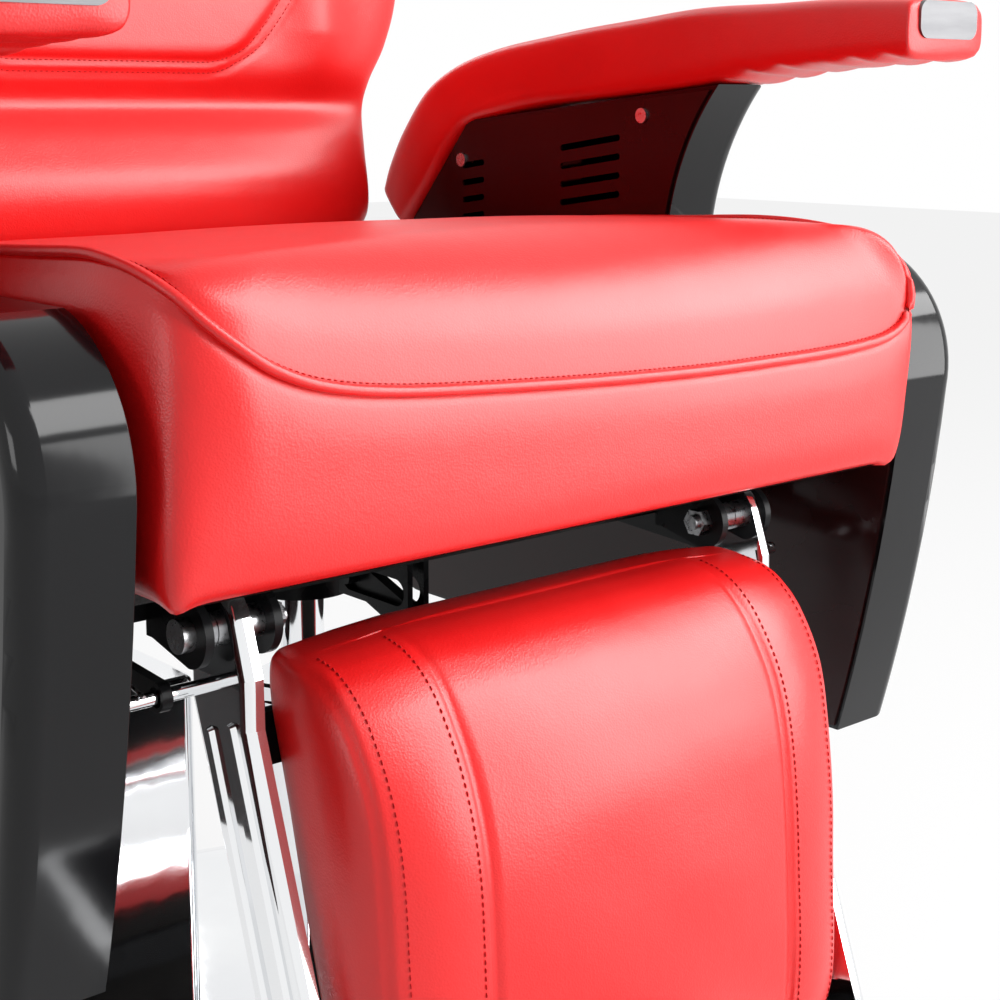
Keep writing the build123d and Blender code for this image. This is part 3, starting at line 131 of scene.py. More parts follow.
stained_board = finish("stained_board", (0.010, 0.009, 0.008), (0.022, 0.019, 0.017), 0.02, (0.55, 0.7),
                       specular=0.15, stretch=(0.3, 1, 6), bumps=[("noise", 0.004, 0.0002)])
dress(stained_board, "seat_board", "leg_board", "back_board")

# Springs, pins, bars and screws: zinc-plated steel, with the fine drawing lines of wire and bar. They
# are pushed, screwed or hooked into the frame's plates.

zinc_steel = finish("zinc_steel", (0.42, 0.42, 0.43), (0.62, 0.62, 0.63), 0.004, (0.22, 0.38), metallic=1.0,
                    bumps=[("noise", 0.0012, 0.00004)])
dress(zinc_steel, "spring_right", "spring_left", "pedal_shaft", "arm_bars", "back_hinge_pins",
      "recline_cylinder", "recline_rod", "plate_screws", "leg_pivot_bolts", "leg_pivot_nuts",
      "leg_pivot_spacers")

# Side shells and their inner plates: moulded plastic, glossy black outside and dark maroon inside,
# screwed to the side plates of the frame. The knobs are the black plastic too, and the arm pads' end
# caps are satin metal.

gloss_shell = finish("gloss_shell", (0.003, 0.003, 0.0035), (0.005, 0.005, 0.006), 0.2, (0.07, 0.12),
                     specular=0.30, bumps=[("noise", 0.05, 0.00012)])
dress(gloss_shell, "shell_right", "shell_left", "headrest_knob", "lever_knob")
inner_plate = finish("inner_plate", (0.016, 0.003, 0.003), (0.024, 0.004, 0.004), 0.1, (0.16, 0.24),
                     specular=0.25, bumps=[("noise", 0.03, 0.0001)])
dress(inner_plate, "shell_plate_right", "shell_plate_left")
satin_metal = finish("satin_metal", (0.11, 0.11, 0.115), (0.17, 0.17, 0.175), 0.01, (0.28, 0.38),
                     metallic=1.0, stretch=(0.15, 1, 1), bumps=[("noise", 0.0008, 0.00003)])
dress(satin_metal, "arm_caps")

# Seat cushion: moulded foam on the seat board under red synthetic leather. A top panel rolls over
# the front and is sewn through a piping to a band that goes round all four sides.

mm = 0.001


def points_of(x, y, z):
    """Points from three arrays of coordinates, which are first stretched to one shape."""
    return np.stack(np.broadcast_arrays(x, y, z), -1).astype(float)


def unit(vectors):
    """Vectors scaled to a length of one."""
    return vectors / np.linalg.norm(vectors, axis=-1)[..., None]


def along(line):
    """Distance run to each point of a line, or of lines side by side: the sum of the steps so far."""
    steps = np.linalg.norm(np.diff(line, axis=0), axis=-1)
    return np.concatenate([0 * steps[:1], np.cumsum(steps, axis=0)])


def bell(distance, width):
    """Bell curve: e to the power of minus the square of distance over width."""
    return np.exp(-(distance / width) ** 2)


def ramp(value, start, length):
    """Straight climb from 0 at the start to 1 a length further on, and level beyond both."""
    return np.clip((value - start) / length, 0, 1)


def smooth_line(points, count, closed=False):
    """Curve through the points, each span a cubic that leaves a point along the line between its
    neighbours, cut again into count places an even length apart."""
    cuts = 24
    points = np.asarray(points, float)
    if closed:
        spans = len(points)
        ring = np.vstack([points[-1:], points, points[:2]])
    else:
        spans = len(points) - 1
        ring = np.vstack([2 * points[:1] - points[1:2], points, 2 * points[-1:] - points[-2:-1]])
    t = np.linspace(0, spans, cuts * spans + 1)
    span = np.minimum(t.astype(int), spans - 1)
    f = (t - span)[:, None]
    a, b, c, d = ring[span], ring[span + 1], ring[span + 2], ring[span + 3]
    bend = (c - a) * f + (2 * a - 5 * b + 4 * c - d) * f ** 2 + (3 * b - a - 3 * c + d) * f ** 3
    line = b + 0.5 * bend
    run = along(line)
    wanted = np.linspace(0, run[-1], count, endpoint=not closed)
    return np.stack([np.interp(wanted, run, line[:, k]) for k in range(line.shape[1])], 1)


def cells(index):
    """Four-cornered faces between the neighbouring rows and columns of a table of point numbers."""
    corners = [index[..., :-1, :-1], index[..., 1:, :-1], index[..., 1:, 1:], index[..., :-1, 1:]]
    return np.stack(corners, -1).reshape(-1, 4).tolist()


def make_piece(name, points, faces, material, body, merge=False):
    """Smooth piece from points and faces that moves with a body of the chair, its equal points merged
    where asked, and its faces turned outwards."""
    mesh = bpy.data.meshes.new(name)
    mesh.from_pydata(points.reshape(-1, 3).tolist(), [], faces)
    shape = bmesh.new()
    shape.from_mesh(mesh)
    if merge:
        bmesh.ops.remove_doubles(shape, verts=shape.verts, dist=1e-6)
    bmesh.ops.recalc_face_normals(shape, faces=shape.faces)
    shape.to_mesh(mesh)
    shape.free()
    mesh.polygons.foreach_set("use_smooth", np.ones(len(mesh.polygons), bool))
    mesh.materials.append(material)
    piece = bpy.data.objects.new(name, mesh)
    bpy.context.scene.collection.objects.link(piece)
    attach(piece, body)
    return piece


def skin(name, grid, material, body, ring_u=False, ring_v=False):
    """Piece over a grid of points, each cell one face, closed round either way; equal points at poles
    and seams are merged."""
    index = np.arange(grid.shape[0] * grid.shape[1]).reshape(grid.shape[:2])
    if ring_u:
        index = np.vstack([index, index[:1]])
    if ring_v:
        index = np.hstack([index, index[:, :1]])
    return make_piece(name, grid, cells(index), material, body, merge=True)


def tube(name, line, radius, material, body, closed=False, sides=12):
    """Round cord along a line: at each point a circle square to the line, whose first axis is square to
    the upright too, or to the X axis where the line runs nearly upright."""
    nearly_upright = 0.9
    ahead = np.roll(line, -1, 0) - np.roll(line, 1, 0)
    if not closed:
        ahead[0], ahead[-1] = line[1] - line[0], line[-1] - line[-2]
    ahead = unit(ahead)
    flat = np.abs(ahead[:, 2:]) < nearly_upright
    aside = unit(np.cross(ahead, np.where(flat, [[0.0, 0.0, 1.0]], [[1.0, 0.0, 0.0]])))
    over = np.cross(aside, ahead)
    turn = np.linspace(0, 2 * np.pi, sides, endpoint=False)[None, :, None]
    grid = line[:, None] + radius * (np.cos(turn) * aside[:, None] + np.sin(turn) * over[:, None])
    if not closed:
        start, end = np.repeat(line[:1, None], sides, 1), np.repeat(line[-1:, None], sides, 1)
        grid = np.concatenate([start, grid, end])
    return skin(name, grid, material, body, ring_u=closed, ring_v=True)


def stitches(name, line, up, material, body, length, pitch, radius, lift):
    """Row of stitches along a line: each a short thread that arches over the cloth, its height a half
    sine of its length, with a six-sided section, set at an even pitch."""
    stations, sides = 5, 6
    run = along(line)
    middle = np.arange(pitch / 2, run[-1] - pitch / 2, pitch)
    share = np.linspace(-0.5, 0.5, stations)
    place = middle[:, None] + length * share
    centre = np.stack([np.interp(place, run, line[:, k]) for k in range(3)], -1)
    rise = unit(np.stack([np.interp(place, run, up[:, k]) for k in range(3)], -1))
    aside = np.cross(unit(centre[:, -1:] - centre[:, :1]), rise)
    arch = np.cos(np.pi * share)[None, :, None]
    centre = centre + rise * (lift + radius * (0.9 * arch - 0.2))
    turn = np.linspace(0, 2 * np.pi, sides, endpoint=False)[:, None]
    girth = radius * np.array([0.25, 1, 1, 1, 0.25])[None, :, None, None]
    grid = centre[:, :, None] + girth * (np.cos(turn) * aside[:, :, None] + np.sin(turn) * rise[:, :, None])
    index = np.arange(len(middle) * stations * sides).reshape(-1, stations, sides)
    walls = cells(np.concatenate([index, index[:, :, :1]], 2))
    ends = np.concatenate([index[:, 0, ::-1], index[:, -1]]).tolist()
    return make_piece(name, grid, walls + ends, material, body)


def swell(points, size, height, seed):
    """Soft uneven swelling of a stuffed cover: the sum of six plane waves of differing direction, all
    near the given size, scaled to the given height."""
    waves = np.random.default_rng(seed)
    total = 0
    for _ in range(6):
        way = unit(waves.normal(size=3))
        wave_length = size * waves.uniform(0.7, 1.6)
        total = total + np.sin(points @ way * (2 * np.pi / wave_length) + waves.uniform(0, 6.28))
    return height * total / 3


red_leather = finish("red_leather", (0.74, 0.006, 0.007), (0.82, 0.009, 0.009), 0.12, (0.33, 0.39),
                     specular=0.62,
                     bumps=[("noise", 0.03, 0.0004), ("cells", 0.0013, 0.00008), ("noise", 0.0007, 0.00004)])
red_thread = finish("red_thread", (0.42, 0.006, 0.008), (0.55, 0.009, 0.011), 0.004, (0.6, 0.75),
                    specular=0.2, bumps=[("noise", 0.0005, 0.0001)])

seat_piping_mm = [(-267, -60, 597), (-267, -110, 601), (-267, -160, 604), (-266, -215, 606.5),
                  (-264, -240, 604.5), (-259, -260, 599), (-252, -275, 590), (-243, -285, 578),
                  (-228, -291, 565), (-208, -292, 552.5), (-180, -292, 542.5), (-137, -292, 535.5),
                  (-72, -292, 530.5), (0, -292, 527), (77, -292, 525), (140, -292, 525),
                  (185, -292, 525.5), (220, -292, 527), (246, -291.5, 530), (263, -290.5, 537),
                  (270, -290, 548), (272, -288, 560), (272, -279, 575), (271, -261, 586.5),
                  (270, -240, 592.5), (268, -200, 596.5), (268, -140, 595.5), (268, -60, 592.5),
                  (268, 0, 589), (267, 100, 581), (265, 165, 575.5), (255, 193, 574.5), (228, 203, 575),
                  (100, 205, 576.5), (-100, 205, 576.5), (-228, 203, 575.5), (-255, 193, 575.5),
                  (-265, 165, 577.5), (-267, 100, 584), (-267, 0, 592)]
seat_middle = np.array([0, -0.045])
foot_middle, foot_half = np.array([0, -0.04325]), np.array([0.2655, 0.24575])
foot_height, foot_power = 0.4486, 60
corner_drop, corner_width = 0.004, 0.010
core_low, core_high = (-0.246, -0.266), (0.246, 0.182)
crown_height, crown_half = 0.6085, 0.25
crown_fall, fall_start, fall_length = 0.030, -0.215, 0.42
left_drop, right_drop = 0.004, 0.0095
least_rise, least_roll, roll_share = 0.002, 0.016, 0.80
seam_groove, groove_width = 0.0022, 0.003
band_swell, band_groove, band_turn = 0.0055, 0.002, 0.003
piping_radius, piping_out, piping_up = 0.0029, 0.0016, 0.35

seat_edge = smooth_line(seat_piping_mm, 480, closed=True) * mm
seat_flat = seat_edge[:, :2]
seat_reach = np.linalg.norm(seat_middle - seat_flat, axis=1)

# The outward direction along the piping points away from a core box, evened out between neighbours.
seat_out = unit(seat_flat - np.clip(seat_flat, core_low, core_high))
for _ in range(12):
    seat_out = (np.roll(seat_out, 1, 0) + seat_out + np.roll(seat_out, -1, 0)) / 3
seat_out = unit(seat_out)

# The foot is a superellipse of high power, nearly a rectangle, whose corners hang down a little.
foot_way = seat_flat - foot_middle
foot_size = (np.abs(foot_way / foot_half) ** foot_power).sum(1)[:, None] ** (1 / foot_power)
foot_flat = foot_way / foot_size + foot_middle
corner_away = np.linalg.norm(np.abs(foot_flat - foot_middle) - foot_half, axis=1)
seat_foot = np.column_stack([foot_flat, foot_height - corner_drop * bell(corner_away, corner_width)])


def seat_crown(x, y):
    """Height of the crowned top: level over the front, falling to the rear with the power one and a
    half, and lower towards both sides by a little more than the square."""
    sides = np.where(x > 0, right_drop, left_drop) * ramp(np.abs(x), 0, crown_half) ** 2.2
    return crown_height - crown_fall * ramp(y, fall_start, fall_length) ** 1.5 - sides


seat_roll = least_roll + roll_share * np.maximum(seat_crown(*seat_flat.T) - seat_edge[:, 2], least_rise)


def seat_top(inset):
    """Top panel at a given distance in from the piping: over the width of the roll its height follows a
    quarter of an ellipse from the piping to the crown; a narrow groove runs by the seam."""
    share = np.clip(inset / seat_reach, 0, 1)[:, None]
    flat = seat_flat + (seat_middle - seat_flat) * share
    climb = np.sqrt(np.clip(1 - (1 - np.clip(inset / seat_roll, 0, 1)) ** 2, 0, 1))
    rise = seat_crown(*flat.T) - seat_edge[:, 2]
    return np.column_stack([flat, seat_edge[:, 2] + rise * climb - seam_groove * bell(inset, groove_width)])


def seat_band(t):
    """Side band from the piping at 0 to the bottom edge at 1: a straight wall that swells a little
    outwards, a fourth-power curve, with a groove by the piping, and turns in near its foot."""
    wall = seat_edge * (1 - t) + seat_foot * t
    bulge = band_swell * (1 - (2 * t - 1) ** 4) - band_groove * bell(t, 0.04)
    wall[:, :2] += seat_out * (bulge - band_turn * ramp(t, 0.94, 0.06) ** 2)
    return wall


def seat_settle(points):
    """Points of the seat cover moved by its slow uneven swelling, which fades out towards the foot."""
    fade = ramp(points[..., 2:], 0.452, 0.02)
    return points + fade * swell(points, 0.15, 0.0009, 3)[..., None] * np.array([0.4, 0.7, 0.8])


def seat_seam(inset):
    """Line on the top panel at a distance from the piping measured along the leather, and the way in
    from there: the panel is cut at insets that grow with a square, and each place is read between the
    two cuts on either side."""
    cuts = 0.03 * np.linspace(0, 1, 241) ** 2
    path = np.array([seat_top(np.full(len(seat_edge), cut)) for cut in cuts])
    run = along(path)
    column = np.arange(len(seat_edge))
    row = np.clip((run < inset).sum(0), 1, len(cuts) - 1)
    part = ((inset - run[row - 1, column]) / (run[row, column] - run[row - 1, column]))[:, None]
    return path[row - 1, column] * (1 - part) + path[row, column] * part, path[30] - path[20]


inward = [seat_top(seat_reach * share ** 1.9) for share in np.linspace(1, 0, 84)]
down = [seat_band(t) for t in np.linspace(0, 1, 34)[1:]]
under = [seat_foot * s + np.append(seat_middle, foot_height) * (1 - s) for s in (0.96, 0.85, 0.5, 0.0)]
grid = seat_settle(np.array(inward + down + under))
seat_cover = skin("seat_cushion_cover", grid, red_leather, "seat", ring_v=True)
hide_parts("seat_cushion")
piping_line = seat_edge + piping_out * np.column_stack([seat_out, np.full(len(seat_out), piping_up)])
seat_piping = tube("seat_piping", seat_settle(piping_line), piping_radius, red_leather, "seat", closed=True)
seam, inwards = seat_seam(6.2 * mm)
seam = seat_settle(seam)
seam_up = np.cross(np.roll(seam, -1, 0) - np.roll(seam, 1, 0), inwards)
seam_up *= np.sign((seam_up * [0, -1, 1]).sum(1))[:, None]
stitches("seat_stitches", np.vstack([seam, seam[:1]]), np.vstack([seam_up, seam_up[:1]]), red_thread, "seat",
         length=2.6 * mm, pitch=3.8 * mm, radius=0.36 * mm, lift=0.2 * mm)

# Leg pad: foam slab on the leg board, covered in the same leather. A middle panel lies between two
# sewn seams, and edge seams join the face to the side bands.

pad_top, pad_bottom, pad_half_width = 0.4015, 0.1155, 0.1765
pad_share = [1, 0.996, 0.985, 0.955, 0.9, 0.8, 0.68, 0.5, 0.35, 0.15, 0.06, 0.015, 0]
pad_front_mm = [-246, -260, -274, -290, -306, -324, -334.5, -341, -343.5, -345, -343, -336, -322]
pad_side_mm = [-244, -256, -267, -279, -292, -306, -313.5, -319, -321, -323, -321, -316, -306]
pad_width_share = [0.935, 0.955, 0.975, 0.99, 1.0, 1.002, 1.003, 1.003, 1.002, 1, 0.995, 0.985, 0.965]
depth_unit_mm = 300
board_y, board_lean, board_top = -0.2225, 0.27, 0.404
panel_seam, edge_seam = 0.113, 0.170
panel_row, edge_row = panel_seam + 7.5 * mm, edge_seam - 9.0 * mm
panel_groove, edge_groove = 0.0024, 0.0020
top_reach, top_drop = 0.32, 0.007

rows = smooth_line(np.column_stack([pad_share, np.array(pad_front_mm) / depth_unit_mm,
                                    np.array(pad_side_mm) / depth_unit_mm, pad_width_share]), 150)
pad_z = pad_bottom + rows[:, 0] * (pad_top - pad_bottom)
pad_face, pad_corner = rows[:, 1] * depth_unit_mm * mm, rows[:, 2] * depth_unit_mm * mm
pad_half = pad_half_width * rows[:, 3]
pad_rear = board_y - board_lean * (board_top - pad_z)


def pad_depth(x, face, corner, half):
    """Depth of the pad's face: a curve a little steeper than a square over the middle panel, one a
    little flatter less a half sine over each side panel, a quick turn at the edges, and a narrow groove
    by each seam."""
    wide = np.abs(x)
    joint = face + 0.22 * (corner - face) + 0.0012
    middle = face + (joint - face) * (wide / panel_seam) ** 2.2
    t = ramp(wide, panel_seam, half - panel_seam)
    side = joint + (corner - joint) * t ** 1.7 - 0.0022 * np.sin(np.pi * t) + 0.012 * ramp(t, 0.86, 0.14) ** 2
    grooves = panel_groove * bell(wide - panel_seam, 0.0022) + edge_groove * bell(wide - edge_seam, 0.002)
    return np.where(wide < panel_seam, middle, side) + grooves


def pad_settle(points):
    """Points of the pad cover moved by its uneven swelling, with the top's two ends let down."""
    drop = ramp(np.abs(points[..., 0]), 0.10, 0.075) ** 1.5 * ramp(points[..., 2], top_reach, 0.08)
    return points + points_of(0, swell(points, 0.09, 0.0007, 8), -top_drop * drop)


def close_ends(grid, shares, steps, power):
    """Grid with both ends closed to a point: its end rows drawn towards their middles by the given
    shares, and moved by the end's step times one less the share's power."""
    for end, step in zip((0, -1), np.array(steps)):
        middle = grid[end].mean(0)
        caps = np.array([middle + (grid[end] - middle) * s + step * (1 - s ** power) for s in shares])
        grid = np.concatenate([grid, caps] if end else [caps[::-1], grid])
    return grid


edge_share = 0.9
edge_places, face_places = np.linspace(edge_share, 1, 14)[1:], np.linspace(-edge_share, edge_share, 120)
across = np.concatenate([-edge_places[::-1], face_places, edge_places])
x = across[None, :] * pad_half[:, None]
face_y = pad_depth(x, pad_face[:, None], pad_corner[:, None], pad_half[:, None])
face_rows = points_of(x, face_y, pad_z[:, None])
turn = np.linspace(0, 1, 16)[1:-1]
edge_y = face_rows[:, -1, 1:2]
band = points_of(pad_half[:, None] + 0.0022 * np.sin(np.pi * turn) ** 0.7,
                 edge_y + (pad_rear[:, None] - edge_y) * turn, pad_z[:, None])
rear = points_of(np.linspace(1, -1, 12) * (pad_half[:, None] - 0.003), pad_rear[:, None], pad_z[:, None])
grid = np.concatenate([face_rows, band, rear, (band * [-1, 1, 1])[:, ::-1]], 1)
grid = close_ends(grid, (0.97, 0.88, 0.6, 0.3, 0.0), [(0, 0, 0.0012), (0, 0, -0.0012)], 4)
leg_cover = skin("leg_pad_cover", pad_settle(grid), red_leather, "leg_rest", ring_v=True)
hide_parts("leg_pad")
for tag, place in (("a", panel_row), ("b", -panel_row), ("c", edge_row), ("d", -edge_row)):
    sewn_part = slice(4, -6)
    line = points_of(place, pad_depth(place, pad_face, pad_corner, pad_half), pad_z)[sewn_part]
    out = points_of(0, -1, np.gradient(pad_face, pad_z))[sewn_part]
    stitches("leg_stitches_" + tag, pad_settle(line), out, red_thread, "leg_rest",
             length=2.9 * mm, pitch=4.3 * mm, radius=0.4 * mm, lift=0.3 * mm)

# Back cushion: shaped foam on the back board. A lumbar roll at its foot, a hollow band above it, a
# wide upper part with a sewn middle panel, and a piped edge. It leans with the back's hinge.

hinge_y, hinge_z, tilt = 0.238, 0.420, np.radians(8)
back_outline_mm = [(145, 214), (152, 226), (170, 236), (215, 237.5), (250, 240), (275, 250), (306, 270),
                   (350, 287), (430, 299), (520, 292), (570, 272), (600, 248), (622, 218), (636, 180),
                   (641, 130)]
edge_out, rear_out = 0.020, 0.0514
board_face, foam_depth = 0.020, 0.018
back_top = 0.641
panel_foot, panel_half, panel_corner = 0.285, 0.105, 0.016
flare_width, flare_rise = 0.11, 0.09
second_row = 8.0 * mm
back_groove, panel_raise = 0.0030, 0.005


def on_back(x, out, up):
    """Point of the leaning back: out is square to the board and rearwards, up runs along the board."""
    return points_of(x, hinge_y + up * np.sin(tilt) + out * np.cos(tilt),
                     hinge_z + up * np.cos(tilt) - out * np.sin(tilt))


def panel_side(up):
    """Half width of the middle panel, which flares outwards and then rises steeply by an exponential
    curve, and the length of a step across divided by its distance square to that side."""
    flare = np.exp(-np.clip(up - panel_foot, 0, 1) / flare_rise)
    return panel_half + flare_width * (1 - flare), np.sqrt(1 + (flare_width / flare_rise * flare) ** 2)


def panel_distance(x, up):
    """Distance out from the outline of the middle panel, which has a flat foot and flared sides. The
    corner between them is rounded by taking both reaches through a square root."""
    half, slant = panel_side(up)
    side, foot = (np.abs(x) - half) / slant, panel_foot - up
    a, b = np.maximum(side + panel_corner, 0), np.maximum(foot + panel_corner, 0)
    inside = np.maximum(side, foot) + panel_corner
    return np.where((a > 0) | (b > 0), np.sqrt(a ** 2 + b ** 2), inside) - panel_corner


def panel_row_line(gap):
    """Line at a gap outside the middle panel: along its foot, a quarter circle round each corner, and up
    both sides. Gives its places across and up."""
    bend = np.linspace(np.pi / 2, 0, 16)
    side_up = np.linspace(0.303, 0.598, 90)
    up = np.concatenate([panel_foot + panel_corner - (gap + panel_corner) * np.sin(bend), side_up])
    side = np.concatenate([(gap + panel_corner) * np.cos(bend) - panel_corner, np.full(len(side_up), gap)])
    half, slant = panel_side(up)
    x = half + side * slant
    foot = np.linspace(-x[0], x[0], 40)[1:-1]
    return np.concatenate([-x[::-1], foot, x]), np.concatenate([up[::-1], np.full(len(foot), up[0]), up])


def back_depth(x, up):
    """How far the face stands out from the board: a rounded edge by a fifth power, bell curves for the
    lumbar roll, the hollow and the side bolsters, a raised middle panel and two narrow seam grooves."""
    across = np.abs(x) / np.interp(up, back_up, back_half)
    full = np.clip(1 - across ** 5, 0, 1) ** 0.5
    lumbar, hollow = 0.018 * bell(up - 0.188, 0.036), -0.013 * bell(up - 0.254, 0.016)
    chest = 0.013 * ramp(up, 0.27, 0.16) * ramp(back_top - up, 0, 0.09) ** 0.5
    bolster = 0.010 * bell(np.abs(x) - 0.19, 0.03) * ramp(up, 0.26, 0.05)
    gap = panel_distance(x, up)
    seams = -back_groove * (bell(gap, 0.0026) + 0.6 * bell(gap - second_row, 0.0022))
    raised = panel_raise * np.clip(0.5 - gap / 0.02, 0, 1)
    lumps = (lumbar + hollow + chest) * (1 - 0.35 * across ** 2) + bolster + seams + raised
    return board_face + (foam_depth + lumps) * full


back_up, back_half = smooth_line(np.array(back_outline_mm) * mm, 170).T
across = np.sin(np.linspace(-0.5, 0.5, 171) * np.pi)
up, half = back_up[:, None], back_half[:, None]
x = across * half
face_rows = on_back(x, np.where(np.abs(across) > 0.9999, edge_out, -back_depth(x, up)), up)
edge = np.linspace(0, 1, 10)[1:]
wall = on_back(half - 0.010 * edge ** 3, edge_out + (rear_out - edge_out) * edge, up)
rear = on_back(np.linspace(1, -1, 14) * (half - 0.012), rear_out, up)
grid = np.concatenate([face_rows, wall, rear, (wall * [-1, 1, 1])[:, ::-1]], 1)
upwards = np.array([0, np.sin(tilt), np.cos(tilt)])
grid = close_ends(grid, (0.97, 0.85, 0.6, 0.3, 0.0), [-0.004 * upwards, 0.006 * upwards], 4)
back_cover = skin("back_cushion_cover", grid, red_leather, "back", ring_v=True)
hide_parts("back_cushion")
right_side = on_back(back_half + 0.001, edge_out, back_up)
over = on_back(np.linspace(1, -1, 20)[1:-1] * back_half[-1], edge_out, back_up[-1] + 0.006)
left_side = (right_side * [-1, 1, 1])[::-1]
edge_line = smooth_line(np.vstack([right_side[::6], right_side[-1:], over[::4], left_side[::6]]), 420)
back_piping = tube("back_piping", edge_line, 3.2 * mm, red_leather, "back")
for tag, gap in (("a", 0.2 * mm), ("b", second_row + 0.2 * mm)):
    line_x, line_up = panel_row_line(gap)
    line = on_back(line_x, -back_depth(line_x, line_up), line_up)
    out = points_of(0 * line_x, -np.cos(tilt), np.sin(tilt))
    stitches("back_stitches_" + tag, line, out, red_thread, "back",
             length=3.0 * mm, pitch=4.4 * mm, radius=0.42 * mm, lift=0.4 * mm)

# Headrest pad: small stuffed pillow in the same leather, held by the headrest frame and piped round
# its middle. It moves up and down with the frame.

head_low, head_high, head_half = 0.669, 0.805, 0.131
head_rear, head_front = 0.0672, -0.004
head_middle, head_thick = (head_rear + head_front) / 2, (head_rear - head_front) / 2
rim_half = 0.098


def pillow(around, share):
    """Pillow section: a rounded rectangle whose powers make soft corners, drawn in towards both ends."""
    c, s = np.cos(around), np.sin(around)
    draw = np.clip(1 - np.abs(2 * share - 1) ** 4, 0, 1) ** 0.5
    width = head_half * (0.86 + 0.14 * draw) * (1 - 0.04 * (1 - np.abs(2 * share - 1)))
    return on_back(width * np.sign(c) * np.abs(c) ** 0.42,
                   head_middle + head_thick * draw * np.sign(s) * np.abs(s) ** 0.62,
                   head_low + (head_high - head_low) * share)


share = (1 - np.cos(np.linspace(0, np.pi, 61)))[:, None] / 2
grid = pillow(np.linspace(0, 2 * np.pi, 180, endpoint=False)[None], share)
grid += swell(grid, 0.07, 0.0010, 12)[..., None] * [0, 1, 0]
head_cover = skin("headrest_cover", grid, red_leather, "headrest", ring_v=True)
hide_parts("headrest_pad")
rim_side = pillow(0.0, np.linspace(0.06, 0.94, 12))
rim_top = on_back(np.linspace(rim_half, -rim_half, 8), head_middle, head_high)
rim_foot = on_back(np.linspace(-rim_half, rim_half, 8), head_middle, head_low)
rim = smooth_line(np.vstack([rim_side, rim_top, (rim_side * [-1, 1, 1])[::-1], rim_foot]), 260, closed=True)
head_piping = tube("headrest_piping", rim, 2.8 * mm, red_leather, "headrest", closed=True)

# Arm pads: foam round a steel flat, wrapped in leather and gathered underneath, where it puckers
# along the staples. They run level over the pillars and bend down behind the elbow.

arm_low_mm = [(-281, 707), (-276, 704.5), (-235, 702.5), (-165, 697), (-105, 690), (-20, 682), (60, 674.5),
              (120, 667.5), (156, 660), (178, 643), (205, 612), (230, 582.5), (241, 572.5)]
arm_top_mm = [(-281, 738), (-276, 741), (-235, 742.5), (-165, 742.5), (-90, 741.5), (0, 733.5), (80, 725.5),
              (132, 717), (176, 706), (214, 687), (243, 657), (263, 626), (271, 607)]
arm_middle, arm_half_width = 0.312, 0.0385
pucker_height, pucker_end = 0.0035, -0.10

ends = smooth_line(np.hstack([np.array(arm_low_mm), np.array(arm_top_mm)]) * mm, 190)
around = np.linspace(0, 2 * np.pi, 96, endpoint=False)
wide = np.sign(np.cos(around)) * np.abs(np.cos(around)) ** 0.30
tall = np.sign(np.sin(around)) * np.abs(np.sin(around)) ** 0.36
low, high = ends[:, None, :2], ends[:, None, 2:]
crown = 1 + 0.06 * (1 - wide ** 2)
section = (low + high) / 2 + (high - low) / 2 * (tall * crown)[None, :, None]
across = arm_middle + arm_half_width * wide * (1 + 0.03 * (1 - tall ** 2))
for name, hand in (("left", -1), ("right", 1)):
    grid = points_of(hand * across, section[..., 0], section[..., 1])
    gather = np.sin(grid[..., 1] * 210 + 1.1 * np.sin(grid[..., 0] * 90)) * np.abs(np.sin(grid[..., 1] * 31))
    grid[..., 2] += pucker_height * gather * np.clip(-tall - 0.55, 0, 1) * (ends[:, :1] < pucker_end)
    grid[..., 2] += swell(grid, 0.10, 0.0008, 21)
    grid = close_ends(grid, (0.97, 0.90, 0.6, 0.3, 0.0), [(0, -0.002, 0), (0, 0, 0)], 6)
    arm_cover = skin("arm_pad_cover_" + name, grid, red_leather, "seat", ring_v=True)
    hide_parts("arm_pad_" + name)

# Dust cloth: black woven cloth stapled under the front overhang of the seat, from the cushion's
# bottom edge to the underside of the seat board.

cloth_half = 0.258
fold_mm = [(-283, 446.8), (-262, 446.4), (-240, 446.2), (-231, 444), (-229.6, 439), (-227, 435.4),
           (-200, 435.2), (-174, 435.2)]

dust_cloth = finish("dust_cloth", (0.008, 0.008, 0.008), (0.02, 0.02, 0.02), 0.002, (0.8, 0.9),
                    bumps=[("cells", 0.0022, 0.0006)])
fold = smooth_line(np.array(fold_mm) * mm, 40)
grid = points_of(np.linspace(-cloth_half, cloth_half, 60)[:, None], fold[:, 0], fold[:, 1])
dust_cover = skin("dust_cloth", grid, dust_cloth, "seat")

# Studio: a pale floor and air that show nearly white to the camera and in reflections, square soft
# lamps in front, to the right, to the left and behind, and the camera at the photographed angle.

floor_half = 9
floor_grey, floor_glow, air_light = 0.80, 0.85, 0.32


def plain_rays(tree):
    """Socket that is 1 for the rays that show a background, which are camera, glossy and transmission
    rays, and 0 for the rest: the greatest of the three."""
    path = tree.nodes.new("ShaderNodeLightPath")
    seen, clear = tree.nodes.new("ShaderNodeMath"), tree.nodes.new("ShaderNodeMath")
    seen.operation = clear.operation = "MAXIMUM"
    tree.links.new(path.outputs["Is Camera Ray"], seen.inputs[0])
    tree.links.new(path.outputs["Is Glossy Ray"], seen.inputs[1])
    tree.links.new(seen.outputs["Value"], clear.inputs[0])
    tree.links.new(path.outputs["Is Transmission Ray"], clear.inputs[1])
    return clear.outputs["Value"]


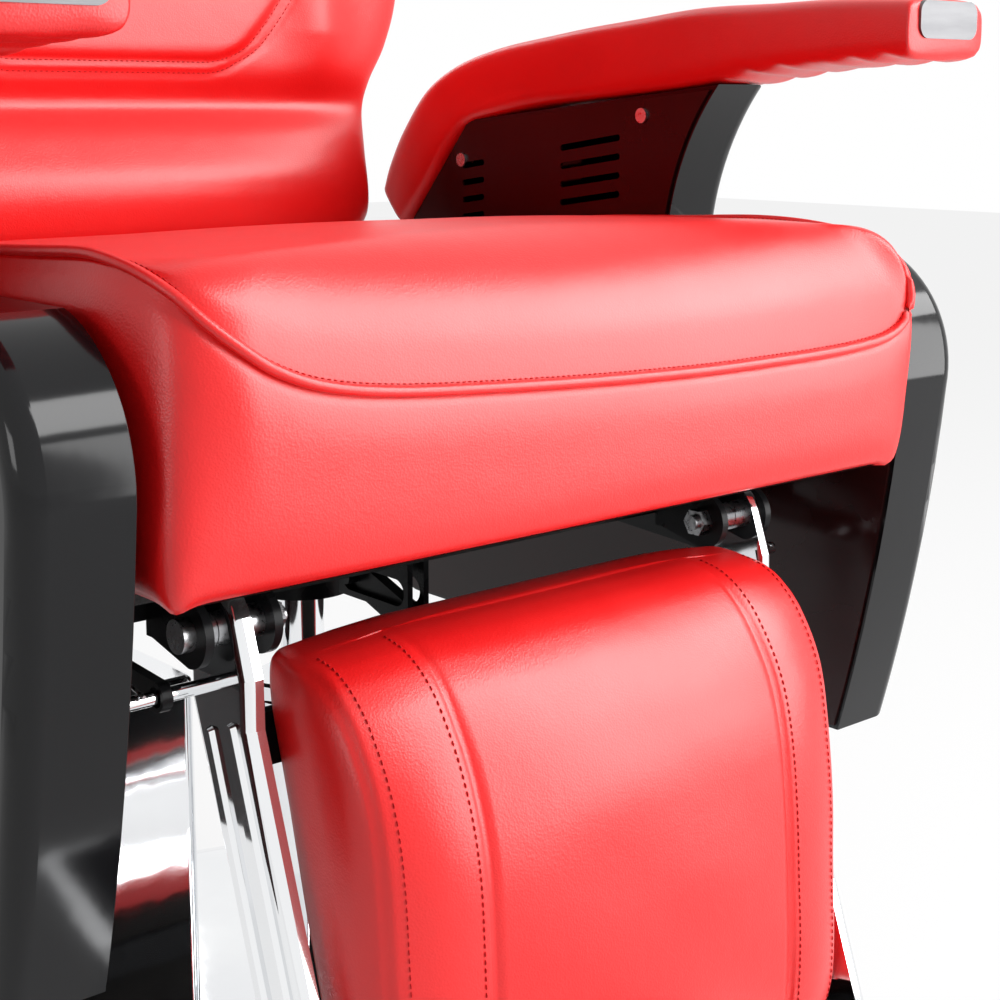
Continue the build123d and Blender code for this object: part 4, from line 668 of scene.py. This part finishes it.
floor_mesh = bpy.data.meshes.new("studio_floor")
floor_corners = [(-floor_half, -floor_half, 0), (floor_half, -floor_half, 0), (floor_half, floor_half, 0),
                 (-floor_half, floor_half, 0)]
floor_mesh.from_pydata(floor_corners, [], [(0, 1, 2, 3)])
floor = bpy.data.objects.new("studio_floor", floor_mesh)
bpy.context.scene.collection.objects.link(floor)
pale = bpy.data.materials.new("studio_white")
pale.use_nodes = True
tree = pale.node_tree
link = tree.links.new
paint = tree.nodes["Principled BSDF"]
paint.inputs["Base Color"].default_value = (floor_grey, floor_grey, floor_grey, 1)
paint.inputs["Roughness"].default_value = 0.9
paint.inputs["Specular IOR Level"].default_value = 0.0
glow = new_node(tree, "ShaderNodeEmission", {"Color": (1, 1, 1, 1), "Strength": 1.0})
share = tree.nodes.new("ShaderNodeMath")
share.operation = "MULTIPLY"
share.inputs[1].default_value = floor_glow
blend = tree.nodes.new("ShaderNodeMixShader")
link(plain_rays(tree), share.inputs[0])
link(share.outputs["Value"], blend.inputs["Fac"])
link(paint.outputs["BSDF"], blend.inputs[1])
link(glow.outputs["Emission"], blend.inputs[2])
link(blend.outputs["Shader"], tree.nodes["Material Output"].inputs["Surface"])
floor_mesh.materials.append(pale)

world = bpy.data.worlds.new("studio_air")
bpy.context.scene.world = world
world.use_nodes = True
air = world.node_tree.nodes["Background"]
air.inputs["Color"].default_value = (1, 1, 1, 1)
level = new_node(world.node_tree, "ShaderNodeMapRange", {"To Min": air_light, "To Max": 1.0})
world.node_tree.links.new(plain_rays(world.node_tree), level.inputs["Value"])
world.node_tree.links.new(level.outputs["Result"], air.inputs["Strength"])


def soft_lamp(name, spot, aim, size, power):
    """Square area lamp at a spot, tipped and turned until its beam runs to its aim."""
    lamp = bpy.data.lights.new(name, "AREA")
    lamp.size = size
    lamp.energy = power
    holder = bpy.data.objects.new(name, lamp)
    bpy.context.scene.collection.objects.link(holder)
    holder.location = spot
    way = np.array(aim) - np.array(spot)
    tip, swing = np.arccos(-way[2] / np.linalg.norm(way)), np.arctan2(way[1], way[0]) - np.pi / 2
    holder.rotation_euler = (tip, 0, swing)


soft_lamp("lamp_right_front", (1.45, -1.9, 0.85), (0, -0.1, 0.45), 1.6, 46)
soft_lamp("lamp_right_above", (1.6, -1.2, 1.8), (0, -0.1, 0.5), 1.1, 30)
soft_lamp("lamp_front_above", (0.72, -1.7, 2.05), (-0.2, -0.2, 0.5), 0.8, 20)
soft_lamp("lamp_left", (-2.4, -0.6, 1.0), (0, 0, 0.5), 0.6, 5)
soft_lamp("lamp_behind", (0.6, 2.2, 1.8), (0, 0.1, 0.6), 1.2, 10)

lens = bpy.data.cameras.new("photo_view")
lens.lens = 63.77
lens.sensor_width = 36
lens.sensor_fit = "HORIZONTAL"
lens.shift_y = -0.12
lens.clip_start = 0.01
camera = bpy.data.objects.new("photo_view", lens)
bpy.context.scene.collection.objects.link(camera)
camera.location = (-0.6567, -0.9723, 0.6752)
camera.rotation_euler = (np.radians(81.15), 0, np.radians(-40.62))
bpy.context.scene.camera = camera
bpy.context.scene.view_settings.view_transform = "Standard"
